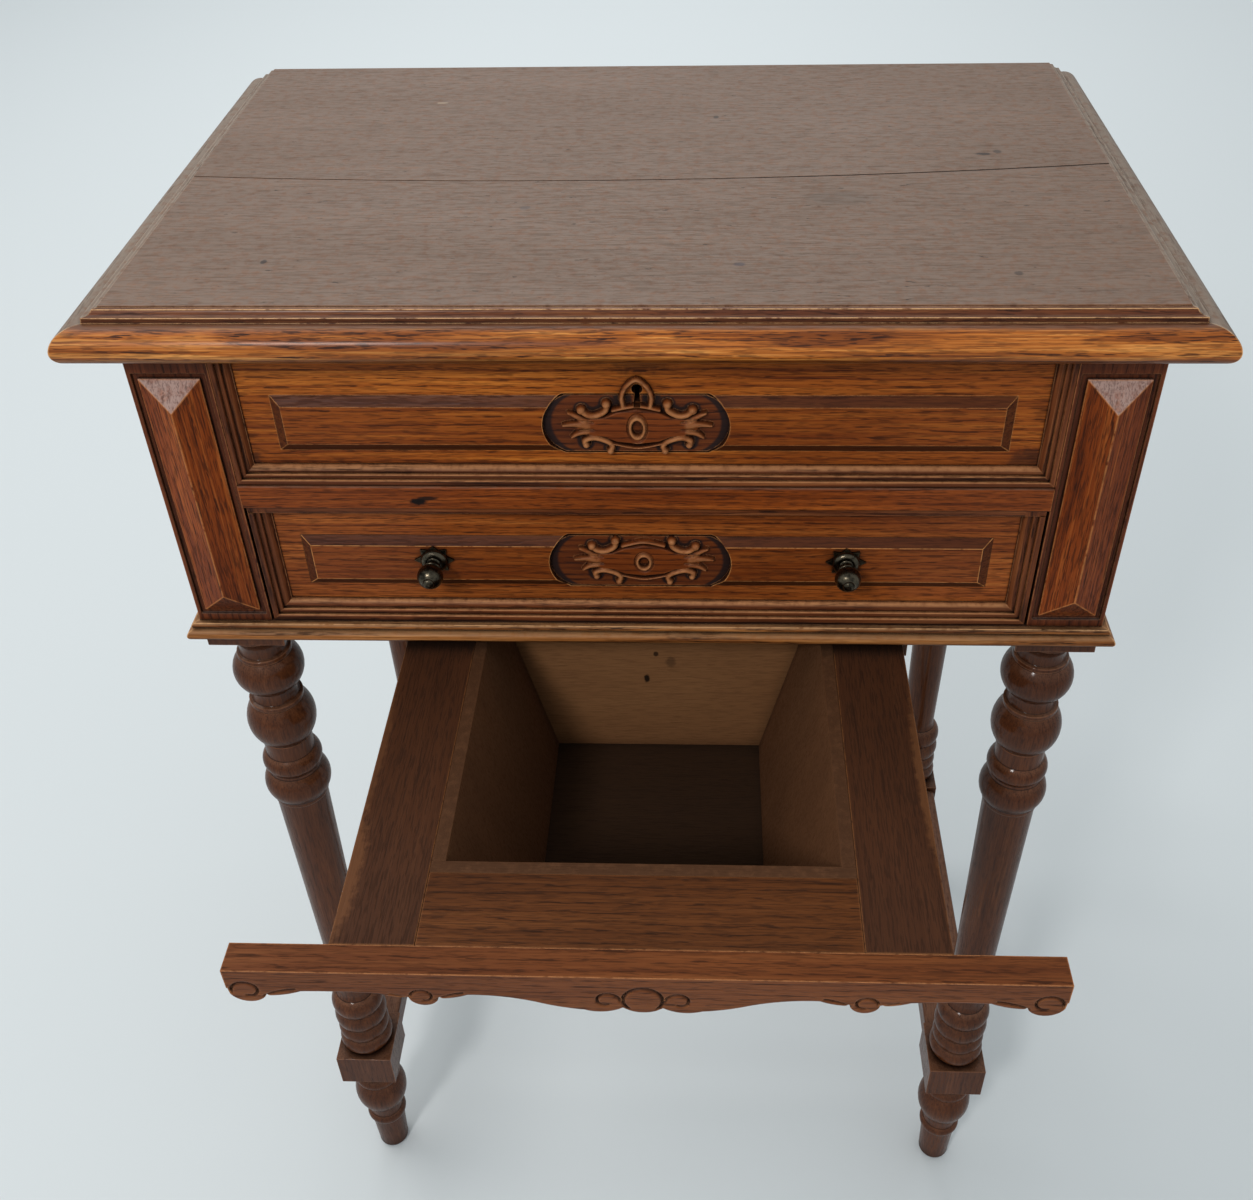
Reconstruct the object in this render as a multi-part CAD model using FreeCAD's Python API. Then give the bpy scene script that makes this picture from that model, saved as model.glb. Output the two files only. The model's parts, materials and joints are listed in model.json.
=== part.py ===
import FreeCAD
import Part
import math
import os

# Vintage oak sewing table: a box on four turned legs, with a hinged moulded top over a fitted well,
# a drawer below the well, and a pull-out work bin hung under the box.
# Millimetres, +Z up, +Y towards the back, +X to the right as one faces the drawer.
# The origin is on the floor, under the middle of the whole object with the work bin pulled out.

V = FreeCAD.Vector

# ---------------------------------------------------------------- driving dimensions
HEIGHT = 752.0            # floor to the top of the lid
LID_W = 520.0             # lid, over its nosings
LID_D = 335.5             # lid, front nosing to the square back edge
LID_T = 21.0              # lid thickness
LID_EDGE = 18.8           # width of the moulded edge around the lid's field
LID_GAP = 0.3             # gap between the closed lid and the box
BOX_W = 475.4             # box, over the corner posts
BOX_INSET = 19.2          # front of the box, behind the lid's front nosing
BOX_Z = 557.5             # underside of the box
BOTTOM_T = 9.5            # bottom board, the same height as the base moulding
POST = 39.2               # front corner post, square
REAR_POST = 30.0          # rear corner post, square
RAIL_LOW = 641.2          # divider rail between the drawer and the fixed upper front
RAIL_TOP = 654.5
RECESS = 7.0              # depth of the sunk panels behind the post faces
LEG_INSET = 21.4          # leg axis, inside the box's outer faces
LEG_BLOCK = 40.0          # square block of the leg, where the stretchers join
BLOCK_LOW = 111.0
BLOCK_TOP = 141.0
CAP = 42.0                # square cap plate on top of the leg
CAP_T = 9.0
BIN_TOP = 553.0           # top face of the bin's frame and apron
BIN_OUT = 174.6           # back of the apron, ahead of the lid's nosing, with the bin pulled out
APRON_T = 14.2
BIN_X = 4.0               # the bin and its runners hang this far to the right of the middle
APRON_SHIFT = 2.0         # and the apron this much further
FRAME_HALF = 132.0        # bin frame, half its width
FRAME_T = 15.0
FRAME_RAIL = 37.0         # width of a bin rail
FRAME_LEN = 278.6         # bin frame, front to back
HOPPER_D = 115.0          # depth inside the hopper
HOPPER_LEN = 185.0        # hopper mouth, front to back
HOPPER_TOP = 88.6         # half width of the hopper's mouth
HOPPER_LOW = 60.6         # half width of the hopper's floor
HOPPER_RAKE = 28.0        # how far the front wall leans back on its way down
WALL = 6.4                # hopper board thickness
PIN_R = 1.5               # hinge pin
BARREL_R = 3.2            # hinge barrel
BARREL_GAP = 0.2          # gap between the box's back face and the barrel

# ---------------------------------------------------------------- places worked out from them
HINGE_PROUD = BARREL_GAP + 2 * BARREL_R
REACH = BIN_OUT + APRON_T
NOSE = (REACH - LID_D - HINGE_PROUD) / 2       # front nosing of the lid
FRONT = NOSE + BOX_INSET                       # front faces of the posts
BACK = NOSE + LID_D                            # back faces of the box and the lid
HALF = BOX_W / 2
LID_LOW = HEIGHT - LID_T
BOX_TOP = LID_LOW - LID_GAP
INNER = HALF - POST                            # inner faces of the front posts
BOARD_TOP = BOX_Z + BOTTOM_T
LEG_X = HALF - LEG_INSET
LEG_FRONT = FRONT + LEG_INSET
LEG_BACK = BACK - LEG_INSET
PANEL_FACE = FRONT + RECESS                    # face of the sunk panels
APRON_BACK = NOSE - BIN_OUT
APRON_FACE = APRON_BACK - APRON_T
FRAME_BACK = APRON_BACK + FRAME_LEN
MOUTH_FRONT = APRON_BACK + FRAME_RAIL + 8.6
MOUTH_BACK = MOUTH_FRONT + HOPPER_LEN
SIDE_T = 12.0
SIDE_INSET = 4.0
SIDE_IN = HALF - SIDE_INSET - SIDE_T           # inner faces of the side panels
BACK_T = 10.0
AXIS_Y = BACK + BARREL_GAP + BARREL_R
AXIS_Z = LID_LOW - LID_GAP / 2


# ---------------------------------------------------------------- shape helpers
def block(x0, x1, y0, y1, z0, z1):
    """A rectangular block between two corners."""
    return Part.makeBox(x1 - x0, y1 - y0, z1 - z0, V(x0, y0, z0))


def rod(radius, start, direction, length):
    """A cylinder from start along direction."""
    return Part.makeCylinder(radius, length, start, direction)


def outline(steps, place):
    """A closed face. steps starts at a point; each next item is a point, or (middle, end) of an arc.

    place turns a flat (a, b) pair into a point in space.
    """
    edges = []
    first = place(*steps[0])
    here = first
    for step in steps[1:]:
        curved = isinstance(step[0], tuple)
        there = place(*(step[1] if curved else step))
        if curved:
            edges.append(Part.Arc(here, place(*step[0]), there).toShape())
        elif here.distanceToPoint(there) > 1e-6:
            edges.append(Part.makeLine(here, there))
        here = there
    if here.distanceToPoint(first) > 1e-6:
        edges.append(Part.makeLine(here, first))
    return Part.Face(Part.Wire(edges))


def plan(points, z0, z1):
    """A prism with its outline in the XY plane."""
    return outline(points, lambda a, b: V(a, b, z0)).extrude(V(0, 0, z1 - z0))


def elevation(points, y0, y1):
    """A prism with its outline in the XZ plane."""
    return outline(points, lambda a, b: V(a, y0, b)).extrude(V(0, y1 - y0, 0))


def mirrored(shape):
    """The same shape on the other side of the middle plane."""
    return shape.mirror(V(0, 0, 0), V(1, 0, 0))


def turned(steps, x, y):
    """A solid of revolution about the vertical through (x, y). steps are (radius, height) pairs."""
    face = outline(steps, lambda r, z: V(x + r, y, z))
    return face.revolve(V(x, y, 0), V(0, 0, 1), 360)


def joined(shapes):
    """Several touching shapes as one solid."""
    result = shapes[0]
    for shape in shapes[1:]:
        result = result.fuse(shape)
    return result.removeSplitter()


def group(shapes):
    """Several separate solids kept in one node."""
    return Part.makeCompound(shapes)


# ---------------------------------------------------------------- legs and stretchers
def leg_profile():
    """Half section of a turned leg, from the floor up to the cap plate: (radius, height)."""
    foot = [(0, 0), (8.2, 0), ((10.6, 1.6), (11.2, 4.6)), (12.6, 38.5)]
    collar = [((14.8, 43.5), (12.8, 48.5)), (13.6, 60)]
    low_ring = [(15.0, 60), ((19.3, 75), (15.6, 90)), (15.0, 91), ((16.9, 95.5), (15.0, 100)),
                (14.0, 101), (14.0, BLOCK_TOP + 1)]
    shaft_foot = [(15.4, 142), ((18.8, 149.5), (16.0, 156.5)), ((18.0, 163), (15.8, 169.5)),
                  ((18.4, 178), (16.0, 185.8)), ((18.2, 194), (14.8, 202)), (13.4, 203)]
    shaft = [((12.5, 206), (12.6, 210)), (15.6, 411.4), (16.5, 412.4), (16.5, 415.0)]
    rings = [((19.7, 425.4), (16.2, 434.2)), (15.5, 435.0), (15.4, 437.2), ((17.6, 443.4), (15.0, 449.2)),
             (14.2, 450.0), (14.4, 461.6), (13.5, 462.6)]
    ball = [(15.6, 463.4), ((19.8, 476.2), (14.8, 491.0)), (15.4, 491.6), (15.4, 494.2), (13.4, 495.0)]
    torus = [((12.8, 499), (13.6, 503.4)), (14.8, 504.0), ((19.9, 515.6), (15.0, 527.2)), (15.4, 527.8),
             (15.0, 530.0), (13.4, 530.8)]
    cove = [((14.0, 538.4), (17.6, 544.6)), (18.4, 545.2), (18.4, BOX_Z - CAP_T), (0, BOX_Z - CAP_T)]
    return foot + collar + low_ring + shaft_foot + shaft + rings + ball + torus + cove


def leg(x, y):
    """One leg: turned shaft, square block for the stretchers, cap plate, and a dowel into the box."""
    half_block = LEG_BLOCK / 2
    half_cap = CAP / 2
    square = block(x - half_block, x + half_block, y - half_block, y + half_block, BLOCK_LOW, BLOCK_TOP)
    cap = block(x - half_cap, x + half_cap, y - half_cap, y + half_cap, BOX_Z - CAP_T, BOX_Z)
    dowel = rod(8.9, V(x, y, BOX_Z), V(0, 0, 1), BOTTOM_T - 1)
    return joined([turned(leg_profile(), x, y), square, cap, dowel])


STRETCHER_Z = (BLOCK_LOW + BLOCK_TOP) / 2 + 2
STRETCHER_W = 36.0
STRETCHER_H = 20.0


def side_stretcher(side):
    """The member that joins a front leg's block to the rear leg's block."""
    x = side * LEG_X
    body = block(x - STRETCHER_W / 2, x + STRETCHER_W / 2, LEG_FRONT + LEG_BLOCK / 2,
                 LEG_BACK - LEG_BLOCK / 2, STRETCHER_Z - STRETCHER_H / 2, STRETCHER_Z + STRETCHER_H / 2)
    long_edges = [e for e in body.Edges if abs(e.Vertexes[0].Y - e.Vertexes[1].Y) > 50]
    return body.makeFillet(2.5, long_edges)


def cross_stretcher():
    """The turned bar between the two side stretchers, with a ball in the middle."""
    end = LEG_X - STRETCHER_W / 2
    y = (LEG_FRONT + LEG_BACK) / 2
    half = [(0, -end), (9.5, -end), (9.5, -end + 14), ((12.2, -end + 18), (9.0, -end + 22)),
            (7.6, -end + 26), (9.4, -42), ((13.0, -36), (9.4, -30)), (8.6, -22)]
    ball = [((15.0, 0), (8.6, 22))]
    other = [(9.4, 30), ((13.0, 36), (9.4, 42)), (7.6, end - 26), (9.0, end - 22),
             ((12.2, end - 18), (9.5, end - 14)), (9.5, end), (0, end)]
    face = outline(half + ball + other, lambda r, s: V(s, y, STRETCHER_Z + r))
    return face.revolve(V(0, y, STRETCHER_Z), V(1, 0, 0), 360)


# ---------------------------------------------------------------- box
LOZENGE_W = 29.4
LOZENGE_LOW = 574.3
LOZENGE_TOP = 714.3
LOZENGE_EDGE = 1.6        # height of the lozenge's side walls
LOZENGE_PEAK = 9.0        # height of its ridge above the post's sunk field
POST_SINK = 1.5
POST_RIM = 2.6            # sunk margin around the lozenge


def front_post(side):
    """A front corner post with a shallow sunk field for its lozenge."""
    inner, outer = sorted((side * INNER, side * HALF))
    post = block(inner, outer, FRONT, FRONT + POST, BOARD_TOP, BOX_TOP)
    middle = side * (HALF - POST / 2)
    wide = LOZENGE_W / 2 + POST_RIM
    return post.cut(block(middle - wide, middle + wide, FRONT - 1, FRONT + POST_SINK,
                          LOZENGE_LOW - POST_RIM, LOZENGE_TOP + POST_RIM))


def rear_post(side):
    """A plain rear corner post."""
    inner, outer = sorted((side * (HALF - REAR_POST), side * HALF))
    return block(inner, outer, BACK - REAR_POST, BACK, BOARD_TOP, BOX_TOP)


def lozenge(side):
    """A long block with a hipped face: a straight ridge between two three-sided ends."""
    x = side * (HALF - POST / 2)
    y = FRONT + POST_SINK
    wide = LOZENGE_W / 2
    low, top = LOZENGE_LOW, LOZENGE_TOP
    hip = wide
    base = block(x - wide, x + wide, y - LOZENGE_EDGE, y, low, top)
    peak = y - LOZENGE_PEAK
    rim = y - LOZENGE_EDGE
    corners = [V(x - wide, rim, low), V(x + wide, rim, low), V(x + wide, rim, top), V(x - wide, rim, top)]
    ridge = [V(x, peak, low + hip), V(x, peak, top - hip)]
    loops = [corners, [corners[0], corners[1], ridge[0]], [corners[2], corners[3], ridge[1]],
             [corners[1], corners[2], ridge[1], ridge[0]], [corners[3], corners[0], ridge[0], ridge[1]]]
    faces = [Part.Face(Part.makePolygon(loop + [loop[0]])) for loop in loops]
    roof = Part.makeSolid(Part.makeShell(faces))
    return joined([base, roof])


def side_panel(side):
    """A side board between the front and rear posts, set back from their outer faces."""
    inner, outer = sorted((side * SIDE_IN, side * (HALF - SIDE_INSET)))
    return block(inner, outer, FRONT + POST, BACK - REAR_POST, BOARD_TOP, BOX_TOP)


HINGE_X = 150.0
LEAF_HALF = 24.0          # half the length of a hinge leaf
LEAF_T = 1.2
LEAF_REACH = 9.5          # how far a leaf runs in from the back face
KNUCKLE_GAP = 0.3


def leaf_pocket(x, z0, z1):
    """The space that a hinge leaf is let into."""
    return block(x - LEAF_HALF, x + LEAF_HALF, BACK - LEAF_REACH, BACK + 1, z0, z1)


def screw_spots(x):
    """Plan positions of a hinge leaf's screws."""
    return [V(x + dx, BACK - LEAF_REACH / 2 - 0.4, 0) for dx in (-17.0, 0.0, 17.0)]


def hinge_screw(spot, z, up):
    """A small countersunk screw with its head flush at height z, pointing up or down."""
    direction = V(0, 0, 1 if up else -1)
    start = V(spot.x, spot.y, z)
    head = Part.makeCone(2.4, 1.1, LEAF_T, start, direction)
    slot = block(spot.x - 2.6, spot.x + 2.6, spot.y - 0.3, spot.y + 0.3, z - 0.4, z + 0.4)
    return joined([head, rod(1.1, start, direction, 9.0)]).cut(slot)


def back_panel():
    """The back board, between the rear posts, with the hinge leaves let into its top edge."""
    edge = HALF - REAR_POST
    panel = block(-edge, edge, BACK - BACK_T, BACK, BOARD_TOP, BOX_TOP)
    for x in (-HINGE_X, HINGE_X):
        panel = panel.cut(leaf_pocket(x, BOX_TOP - LEAF_T, BOX_TOP + 1))
        for spot in screw_spots(x):
            panel = panel.cut(rod(1.1, V(spot.x, spot.y, BOX_TOP), V(0, 0, -1), 9.5))
    return panel


def bottom_board():
    """The bottom of the box, bored for the leg dowels and the runner screws."""
    board = block(-HALF, HALF, FRONT, BACK, BOX_Z, BOARD_TOP)
    for x in (-LEG_X, LEG_X):
        for y in (LEG_FRONT, LEG_BACK):
            board = board.cut(rod(9.0, V(x, y, BOX_Z - 1), V(0, 0, 1), BOTTOM_T + 2))
    for spot in runner_screw_spots(-1) + runner_screw_spots(1):
        board = board.cut(rod(RUNNER_SCREW_R, V(spot.x + BIN_X, spot.y, BOX_Z - 1), V(0, 0, 1), 9.0))
    return board


BASE_STEP = 3.4           # how far its upper step stands out


def base_section():
    """Section of the base moulding: (distance out from the box, height above the box's underside)."""
    return [(0, 0), (4.6, 0), ((6.6, 2.7), (4.6, 5.6)), (3.0, 6.0), (2.4, 6.5), (BASE_STEP, 6.8),
            ((BASE_STEP + 0.5, 8.0), (BASE_STEP - 0.4, 9.3)), (BASE_STEP - 0.6, BOTTOM_T), (0, BOTTOM_T)]


def corner_plan(half, front, back, depth, side):
    """The plan outline that a mitred strip is trimmed to: side is 0 for the front, or -1 or 1."""
    over = 30.0
    if side == 0:
        return [(-half - over, front - over), (half + over, front - over),
                (half - depth, front + depth), (-half + depth, front + depth)]
    shape = [(-half - over, front - over), (-half + depth, front + depth), (-half + depth, back),
             (-half - over, back)]
    return [(-side * x, y) for x, y in shape]


def edge_strip(section, half, front, back, depth, base, side):
    """A moulded strip along one edge of a board, mitred at the front corners.

    section gives (distance out, height) from the line at half and front; base is that line's height.
    """
    low = base - 60
    high = base + 60
    trim = plan(corner_plan(half, front, back, depth, side), low, high)
    if side == 0:
        span = 2 * half + 60
        face = outline(section, lambda out, z: V(-span / 2, front - out, base + z))
        return face.extrude(V(span, 0, 0)).common(trim)
    face = outline(section, lambda out, z: V(side * (half + out), front - 30, base + z))
    return face.extrude(V(0, back - front + 60, 0)).common(trim)


def base_moulding(side):
    """The moulding around the foot of the box."""
    return edge_strip(base_section(), HALF, FRONT, BACK, 0.0, BOX_Z, side)


STRIP_W = 8.6             # width of the stepped strips around the fixed upper front
DRAWER_STRIP_W = 10.0     # the same on the drawer front


def strip_section(width):
    """Section of a stepped panel strip: (distance from its outer edge, height above the panel)."""
    step = width / 4
    return [(0, 0), (0, RECESS - 0.5), ((0.25, RECESS - 0.1), (0.6, RECESS)), (step, RECESS),
            ((step + 0.5, RECESS - 0.4), (step + 0.5, RECESS - 1.2)), (step + 0.5, RECESS - 1.9),
            (2 * step, RECESS - 1.9), ((2 * step + 0.5, RECESS - 2.3), (2 * step + 0.5, RECESS - 3.1)),
            (2 * step + 0.5, RECESS - 3.8), (3 * step - 0.3, RECESS - 3.8),
            ((width - 1.4, RECESS - 4.6), (width - 0.4, 0.9)), (width, 0.9), (width, 0)]


def panel_strips(half, low, top, width, tall):
    """Left, right and bottom strips of a sunk panel, mitred at the two lower corners."""
    section = strip_section(width)
    left_face = outline(section, lambda w, p: V(-half + w, PANEL_FACE - p, low))
    left = left_face.extrude(V(0, 0, top - low))
    left_trim = elevation([(-half, low), (-half + width, low + width), (-half + width, tall), (-half, tall)],
                          FRONT - 10, PANEL_FACE + 1)
    left = left.common(left_trim)
    bottom_face = outline(section, lambda w, p: V(-half, PANEL_FACE - p, low + w))
    bottom = bottom_face.extrude(V(2 * half, 0, 0))
    bottom_trim = elevation([(-half, low), (half, low), (half - width, low + width),
                             (-half + width, low + width)], FRONT - 10, PANEL_FACE + 1)
    return [left, mirrored(left), bottom.common(bottom_trim)]


FIELD_RISE = 3.0
FIELD_BEVEL = 5.0
FIELD_HALF = 175.5        # outer half width of the raised fields
NOTCH_HALF = 44.5         # half width of the carved hollow in the middle of the fixed front's field
DRAWER_NOTCH_HALF = 46.5  # and of the drawer's
NOTCH_X = -2.0            # the hollows sit this far to the left of the middle


def raised_field(half, low, top):
    """A raised field: a low block with bevelled sides."""
    y = PANEL_FACE
    outer = [V(-half, y, low), V(half, y, low), V(half, y, top), V(-half, y, top)]
    inset = FIELD_BEVEL
    inner = [V(-half + inset, y - FIELD_RISE, low + inset), V(half - inset, y - FIELD_RISE, low + inset),
             V(half - inset, y - FIELD_RISE, top - inset), V(-half + inset, y - FIELD_RISE, top - inset)]
    wires = [Part.makePolygon(loop + [loop[0]]) for loop in (outer, inner)]
    return Part.makeLoft(wires, True, True)


def carved_hollow(low, top, tip):
    """The hollow that cuts the raised field in two: its ends are round, and it is a little deeper."""
    middle = (low + top) / 2
    shoulder = tip - 10.0
    shape = [(-shoulder, low - 1), ((-tip, middle), (-shoulder, top + 1)), (shoulder, top + 1),
             ((tip, middle), (shoulder, low - 1))]
    hollow = elevation(shape, PANEL_FACE - FIELD_RISE - 1, PANEL_FACE + 1.2)
    hollow.translate(V(NOTCH_X, 0, 0))
    return hollow


UPPER_FIELD = (670.8, 701.6)      # heights of the fixed front's raised field
PANEL_T = 12.0
KEY_X = -1.2                      # keyhole
KEY_Z = 705.0


def keyhole(y0, y1):
    """The keyhole: a round hole with a slot below it."""
    hole = rod(2.6, V(KEY_X, y0, KEY_Z), V(0, 1, 0), y1 - y0)
    return hole.fuse(block(KEY_X - 1.1, KEY_X + 1.1, y0, y1, KEY_Z - 7.5, KEY_Z))


def upper_front_panel():
    """The fixed upper front: a board with a raised field in two halves and a keyhole."""
    low, top = UPPER_FIELD
    board = block(-INNER, INNER, PANEL_FACE, PANEL_FACE + PANEL_T, RAIL_TOP, BOX_TOP)
    board = joined([board, raised_field(FIELD_HALF, low, top)])
    board = board.cut(carved_hollow(low, top, NOTCH_HALF))
    board = board.cut(keyhole(PANEL_FACE - 1, PANEL_FACE + PANEL_T + 1))
    for spot in lock_screw_spots():
        board = board.cut(rod(LOCK_SCREW_R, V(spot[0], PANEL_FACE + PANEL_T + 1, spot[1]), V(0, -1, 0), 9.0))
    return board


def divider_rail():
    """The plain rail between the fixed upper front and the drawer."""
    rail = block(-INNER, INNER, FRONT - 1.6, PANEL_FACE + PANEL_T, RAIL_LOW, RAIL_TOP)
    front_edges = [e for e in rail.Edges if all(abs(v.Y - FRONT + 1.6) < 0.01 for v in e.Vertexes)
                   and abs(e.Vertexes[0].X - e.Vertexes[1].X) > 50]
    return rail.makeFillet(1.2, front_edges)


WELL_Z = 646.0
WELL_T = 6.0
WELL_FRONT = PANEL_FACE + PANEL_T
WELL_BACK = BACK - BACK_T
DIVIDER_H = 44.0
DIVIDER_T = 5.0
LONG_DIVIDER_Y = WELL_FRONT + 0.42 * (WELL_BACK - WELL_FRONT)
CROSS_X = 74.0


def well_floor():
    """The floor of the well under the lid, notched around the four posts."""
    floor = block(-SIDE_IN, SIDE_IN, WELL_FRONT, WELL_BACK, WELL_Z, WELL_Z + WELL_T)
    for side in (-1, 1):
        floor = floor.cut(front_post(side)).cut(rear_post(side))
        inner, outer = sorted((side * INNER, side * HALF))
        floor = floor.cut(block(inner, outer, FRONT, FRONT + POST, WELL_Z - 1, WELL_Z + WELL_T + 1))
    return floor


def well_long_divider():
    """The thin upright board that parts the well into a front and a rear row."""
    y = LONG_DIVIDER_Y
    base = WELL_Z + WELL_T
    return block(-SIDE_IN, SIDE_IN, y, y + DIVIDER_T, base, base + DIVIDER_H)


def well_cross_divider(x):
    """A short upright board from the long divider to the back."""
    base = WELL_Z + WELL_T
    return block(x - DIVIDER_T / 2, x + DIVIDER_T / 2, LONG_DIVIDER_Y + DIVIDER_T, WELL_BACK,
                 base, base + DIVIDER_H)


GUIDE_IN = INNER - 3.4


def drawer_guide(side):
    """The strip on the bottom board that keeps the drawer straight between the posts."""
    inner, outer = sorted((side * GUIDE_IN, side * SIDE_IN))
    return block(inner, outer, FRONT + POST, BACK - REAR_POST, BOARD_TOP, BOARD_TOP + 16)


# ---------------------------------------------------------------- lock
LOCK_HALF = 21.0
LOCK_LOW = 694.0
LOCK_T = 9.0
LOCK_SCREW_R = 1.2
BOLT_HALF = 5.0
BOLT_T = 3.6
BOLT_TRAVEL = 7.0
BOLT_GAP = 0.3
LOCK_Y = PANEL_FACE + PANEL_T
BOLT_Y = LOCK_Y + 3.0
BOLT_LEN = 24.0


def lock_screw_spots():
    """(x, z) of the lock's four screws."""
    return [(x, z) for x in (-17.0, 17.0) for z in (LOCK_LOW + 5, LOCK_LOW + 29)]


def lock_case():
    """The lock on the back of the fixed front, with a channel for its bolt."""
    case = block(-LOCK_HALF, LOCK_HALF, LOCK_Y, LOCK_Y + LOCK_T, LOCK_LOW, BOX_TOP)
    channel = block(-BOLT_HALF - BOLT_GAP, BOLT_HALF + BOLT_GAP, BOLT_Y - BOLT_GAP,
                    BOLT_Y + BOLT_T + BOLT_GAP, BOX_TOP - BOLT_LEN - 0.2, BOX_TOP + 1)
    case = case.cut(channel).cut(keyhole(LOCK_Y - 1, BOLT_Y - 0.5))
    for x, z in lock_screw_spots():
        case = case.cut(rod(LOCK_SCREW_R, V(x, LOCK_Y - 1, z), V(0, 1, 0), LOCK_T + 2))
    return case


def lock_screw(x, z):
    """A round-headed screw through the lock into the fixed front."""
    y = LOCK_Y + LOCK_T
    head = Part.makeSphere(3.2, V(x, y - 1.6, z)).common(block(x - 4, x + 4, y, y + 4, z - 4, z + 4))
    shank = rod(LOCK_SCREW_R, V(x, y + 0.1, z), V(0, -1, 0), LOCK_T + 8.0)
    slot = block(x - 4, x + 4, y + 1.0, y + 3, z - 0.4, z + 0.4)
    return joined([head, shank]).cut(slot)


def lock_bolt():
    """The bolt that rises into the lid."""
    bolt = block(-BOLT_HALF, BOLT_HALF, BOLT_Y, BOLT_Y + BOLT_T, BOX_TOP - BOLT_LEN, BOX_TOP)
    top_edges = [e for e in bolt.Edges if all(abs(v.Z - BOX_TOP) < 0.01 for v in e.Vertexes)]
    return bolt.makeChamfer(0.6, top_edges)


STRIKE_HALF = 18.0
STRIKE_DEEP = 16.0
STRIKE_Y = BOLT_Y + BOLT_T / 2
MORTISE_HALF = 8.0        # mortise in the lid for the bolt
MORTISE_DEEP = 9.0


def strike_opening(z0, z1):
    """The space in the lid that the bolt rises into."""
    half_deep = MORTISE_DEEP / 2
    return block(-MORTISE_HALF, MORTISE_HALF, STRIKE_Y - half_deep, STRIKE_Y + half_deep, z0, z1)


def strike_plate():
    """The metal plate in the lid's underside that the bolt passes through."""
    plate = block(-STRIKE_HALF, STRIKE_HALF, STRIKE_Y - STRIKE_DEEP / 2, STRIKE_Y + STRIKE_DEEP / 2,
                  LID_LOW, LID_LOW + LEAF_T)
    return plate.cut(strike_opening(LID_LOW - 1, LID_LOW + 3))


# ---------------------------------------------------------------- hinges
def knuckles(x, moving):
    """The lengths of barrel that belong to one leaf: two outer ones on the box, the middle on the lid."""
    third = 2 * LEAF_HALF / 3
    if moving:
        return [(x - third / 2 + KNUCKLE_GAP, x + third / 2 - KNUCKLE_GAP)]
    return [(x - LEAF_HALF, x - third / 2), (x + third / 2, x + LEAF_HALF)]


def hinge_leaf(x, moving):
    """One leaf with its knuckles, bored for the pin and the screws."""
    z0 = LID_LOW if moving else BOX_TOP - LEAF_T
    leaf = block(x - LEAF_HALF, x + LEAF_HALF, BACK - LEAF_REACH, BACK, z0, z0 + LEAF_T)
    parts = [leaf]
    for a, b in knuckles(x, moving):
        parts.append(block(a, b, BACK - 1, AXIS_Y, z0, z0 + LEAF_T))
        parts.append(rod(BARREL_R, V(a, AXIS_Y, AXIS_Z), V(1, 0, 0), b - a))
    leaf = joined(parts)
    bore = PIN_R + (0.05 if moving else 0.0)
    leaf = leaf.cut(rod(bore, V(x - LEAF_HALF - 1, AXIS_Y, AXIS_Z), V(1, 0, 0), 2 * LEAF_HALF + 2))
    for spot in screw_spots(x):
        face = LID_LOW if moving else BOX_TOP
        direction = V(0, 0, 1 if moving else -1)
        leaf = leaf.cut(Part.makeCone(2.4, 1.1, LEAF_T, V(spot.x, spot.y, face), direction))
    return leaf


def hinge_pin(x):
    """A hinge pin with small round ends."""
    length = 2 * LEAF_HALF
    pin = rod(PIN_R, V(x - LEAF_HALF, AXIS_Y, AXIS_Z), V(1, 0, 0), length)
    ends = [rod(2.4, V(x - LEAF_HALF - 1.4, AXIS_Y, AXIS_Z), V(1, 0, 0), 1.4),
            rod(2.4, V(x + LEAF_HALF, AXIS_Y, AXIS_Z), V(1, 0, 0), 1.4)]
    return joined([pin] + ends)


# ---------------------------------------------------------------- lid
SPLIT_LEFT = 165.0        # where the lid's two boards meet, behind the nosing: left, middle and right
SPLIT_MID = 157.5
SPLIT_RIGHT = 176.0
SPLIT_GAP = 0.35


def lid_section():
    """Section of the lid's moulded edge: (distance out from the field, height above the underside)."""
    out = LID_EDGE
    return [(0, 0), (out - 4.5, 0), ((out - 0.9, 2.9), (out, 8.6)), ((out - 3.2, 13.6), (8.4, 15.7)),
            (6.6, 15.5), (6.3, 17.0), (6.3, 18.0), (4.9, 18.0), ((3.6, 18.4), (2.2, 20.2)), (0.0, 20.4)]


def lid_field(front_half):
    """One of the two boards of the lid's field, on one side of the curved joint."""
    half = LID_W / 2 - LID_EDGE
    shift = -SPLIT_GAP / 2 if front_half else SPLIT_GAP / 2
    left = (-half, NOSE + SPLIT_LEFT + shift)
    middle = (0, NOSE + SPLIT_MID + shift)
    right = (half, NOSE + SPLIT_RIGHT + shift)
    edge = NOSE + LID_EDGE if front_half else BACK
    board = plan([(-half, edge), left, (middle, right), (half, edge)], LID_LOW, HEIGHT)
    if front_half:
        plate = block(-STRIKE_HALF, STRIKE_HALF, STRIKE_Y - STRIKE_DEEP / 2, STRIKE_Y + STRIKE_DEEP / 2,
                      LID_LOW - 1, LID_LOW + LEAF_T)
        return board.cut(plate).cut(strike_opening(LID_LOW - 1, LID_LOW + BOLT_TRAVEL + 5))
    for x in (-HINGE_X, HINGE_X):
        board = board.cut(leaf_pocket(x, LID_LOW - 1, LID_LOW + LEAF_T))
        for spot in screw_spots(x):
            board = board.cut(rod(1.1, V(spot.x, spot.y, LID_LOW - 1), V(0, 0, 1), 10.5))
    return board


def lid_moulding(side):
    """The moulded edge of the lid, mitred at the two front corners and square at the back."""
    half = LID_W / 2 - LID_EDGE
    return edge_strip(lid_section(), half, NOSE + LID_EDGE, BACK, 0.0, LID_LOW, side)


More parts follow.
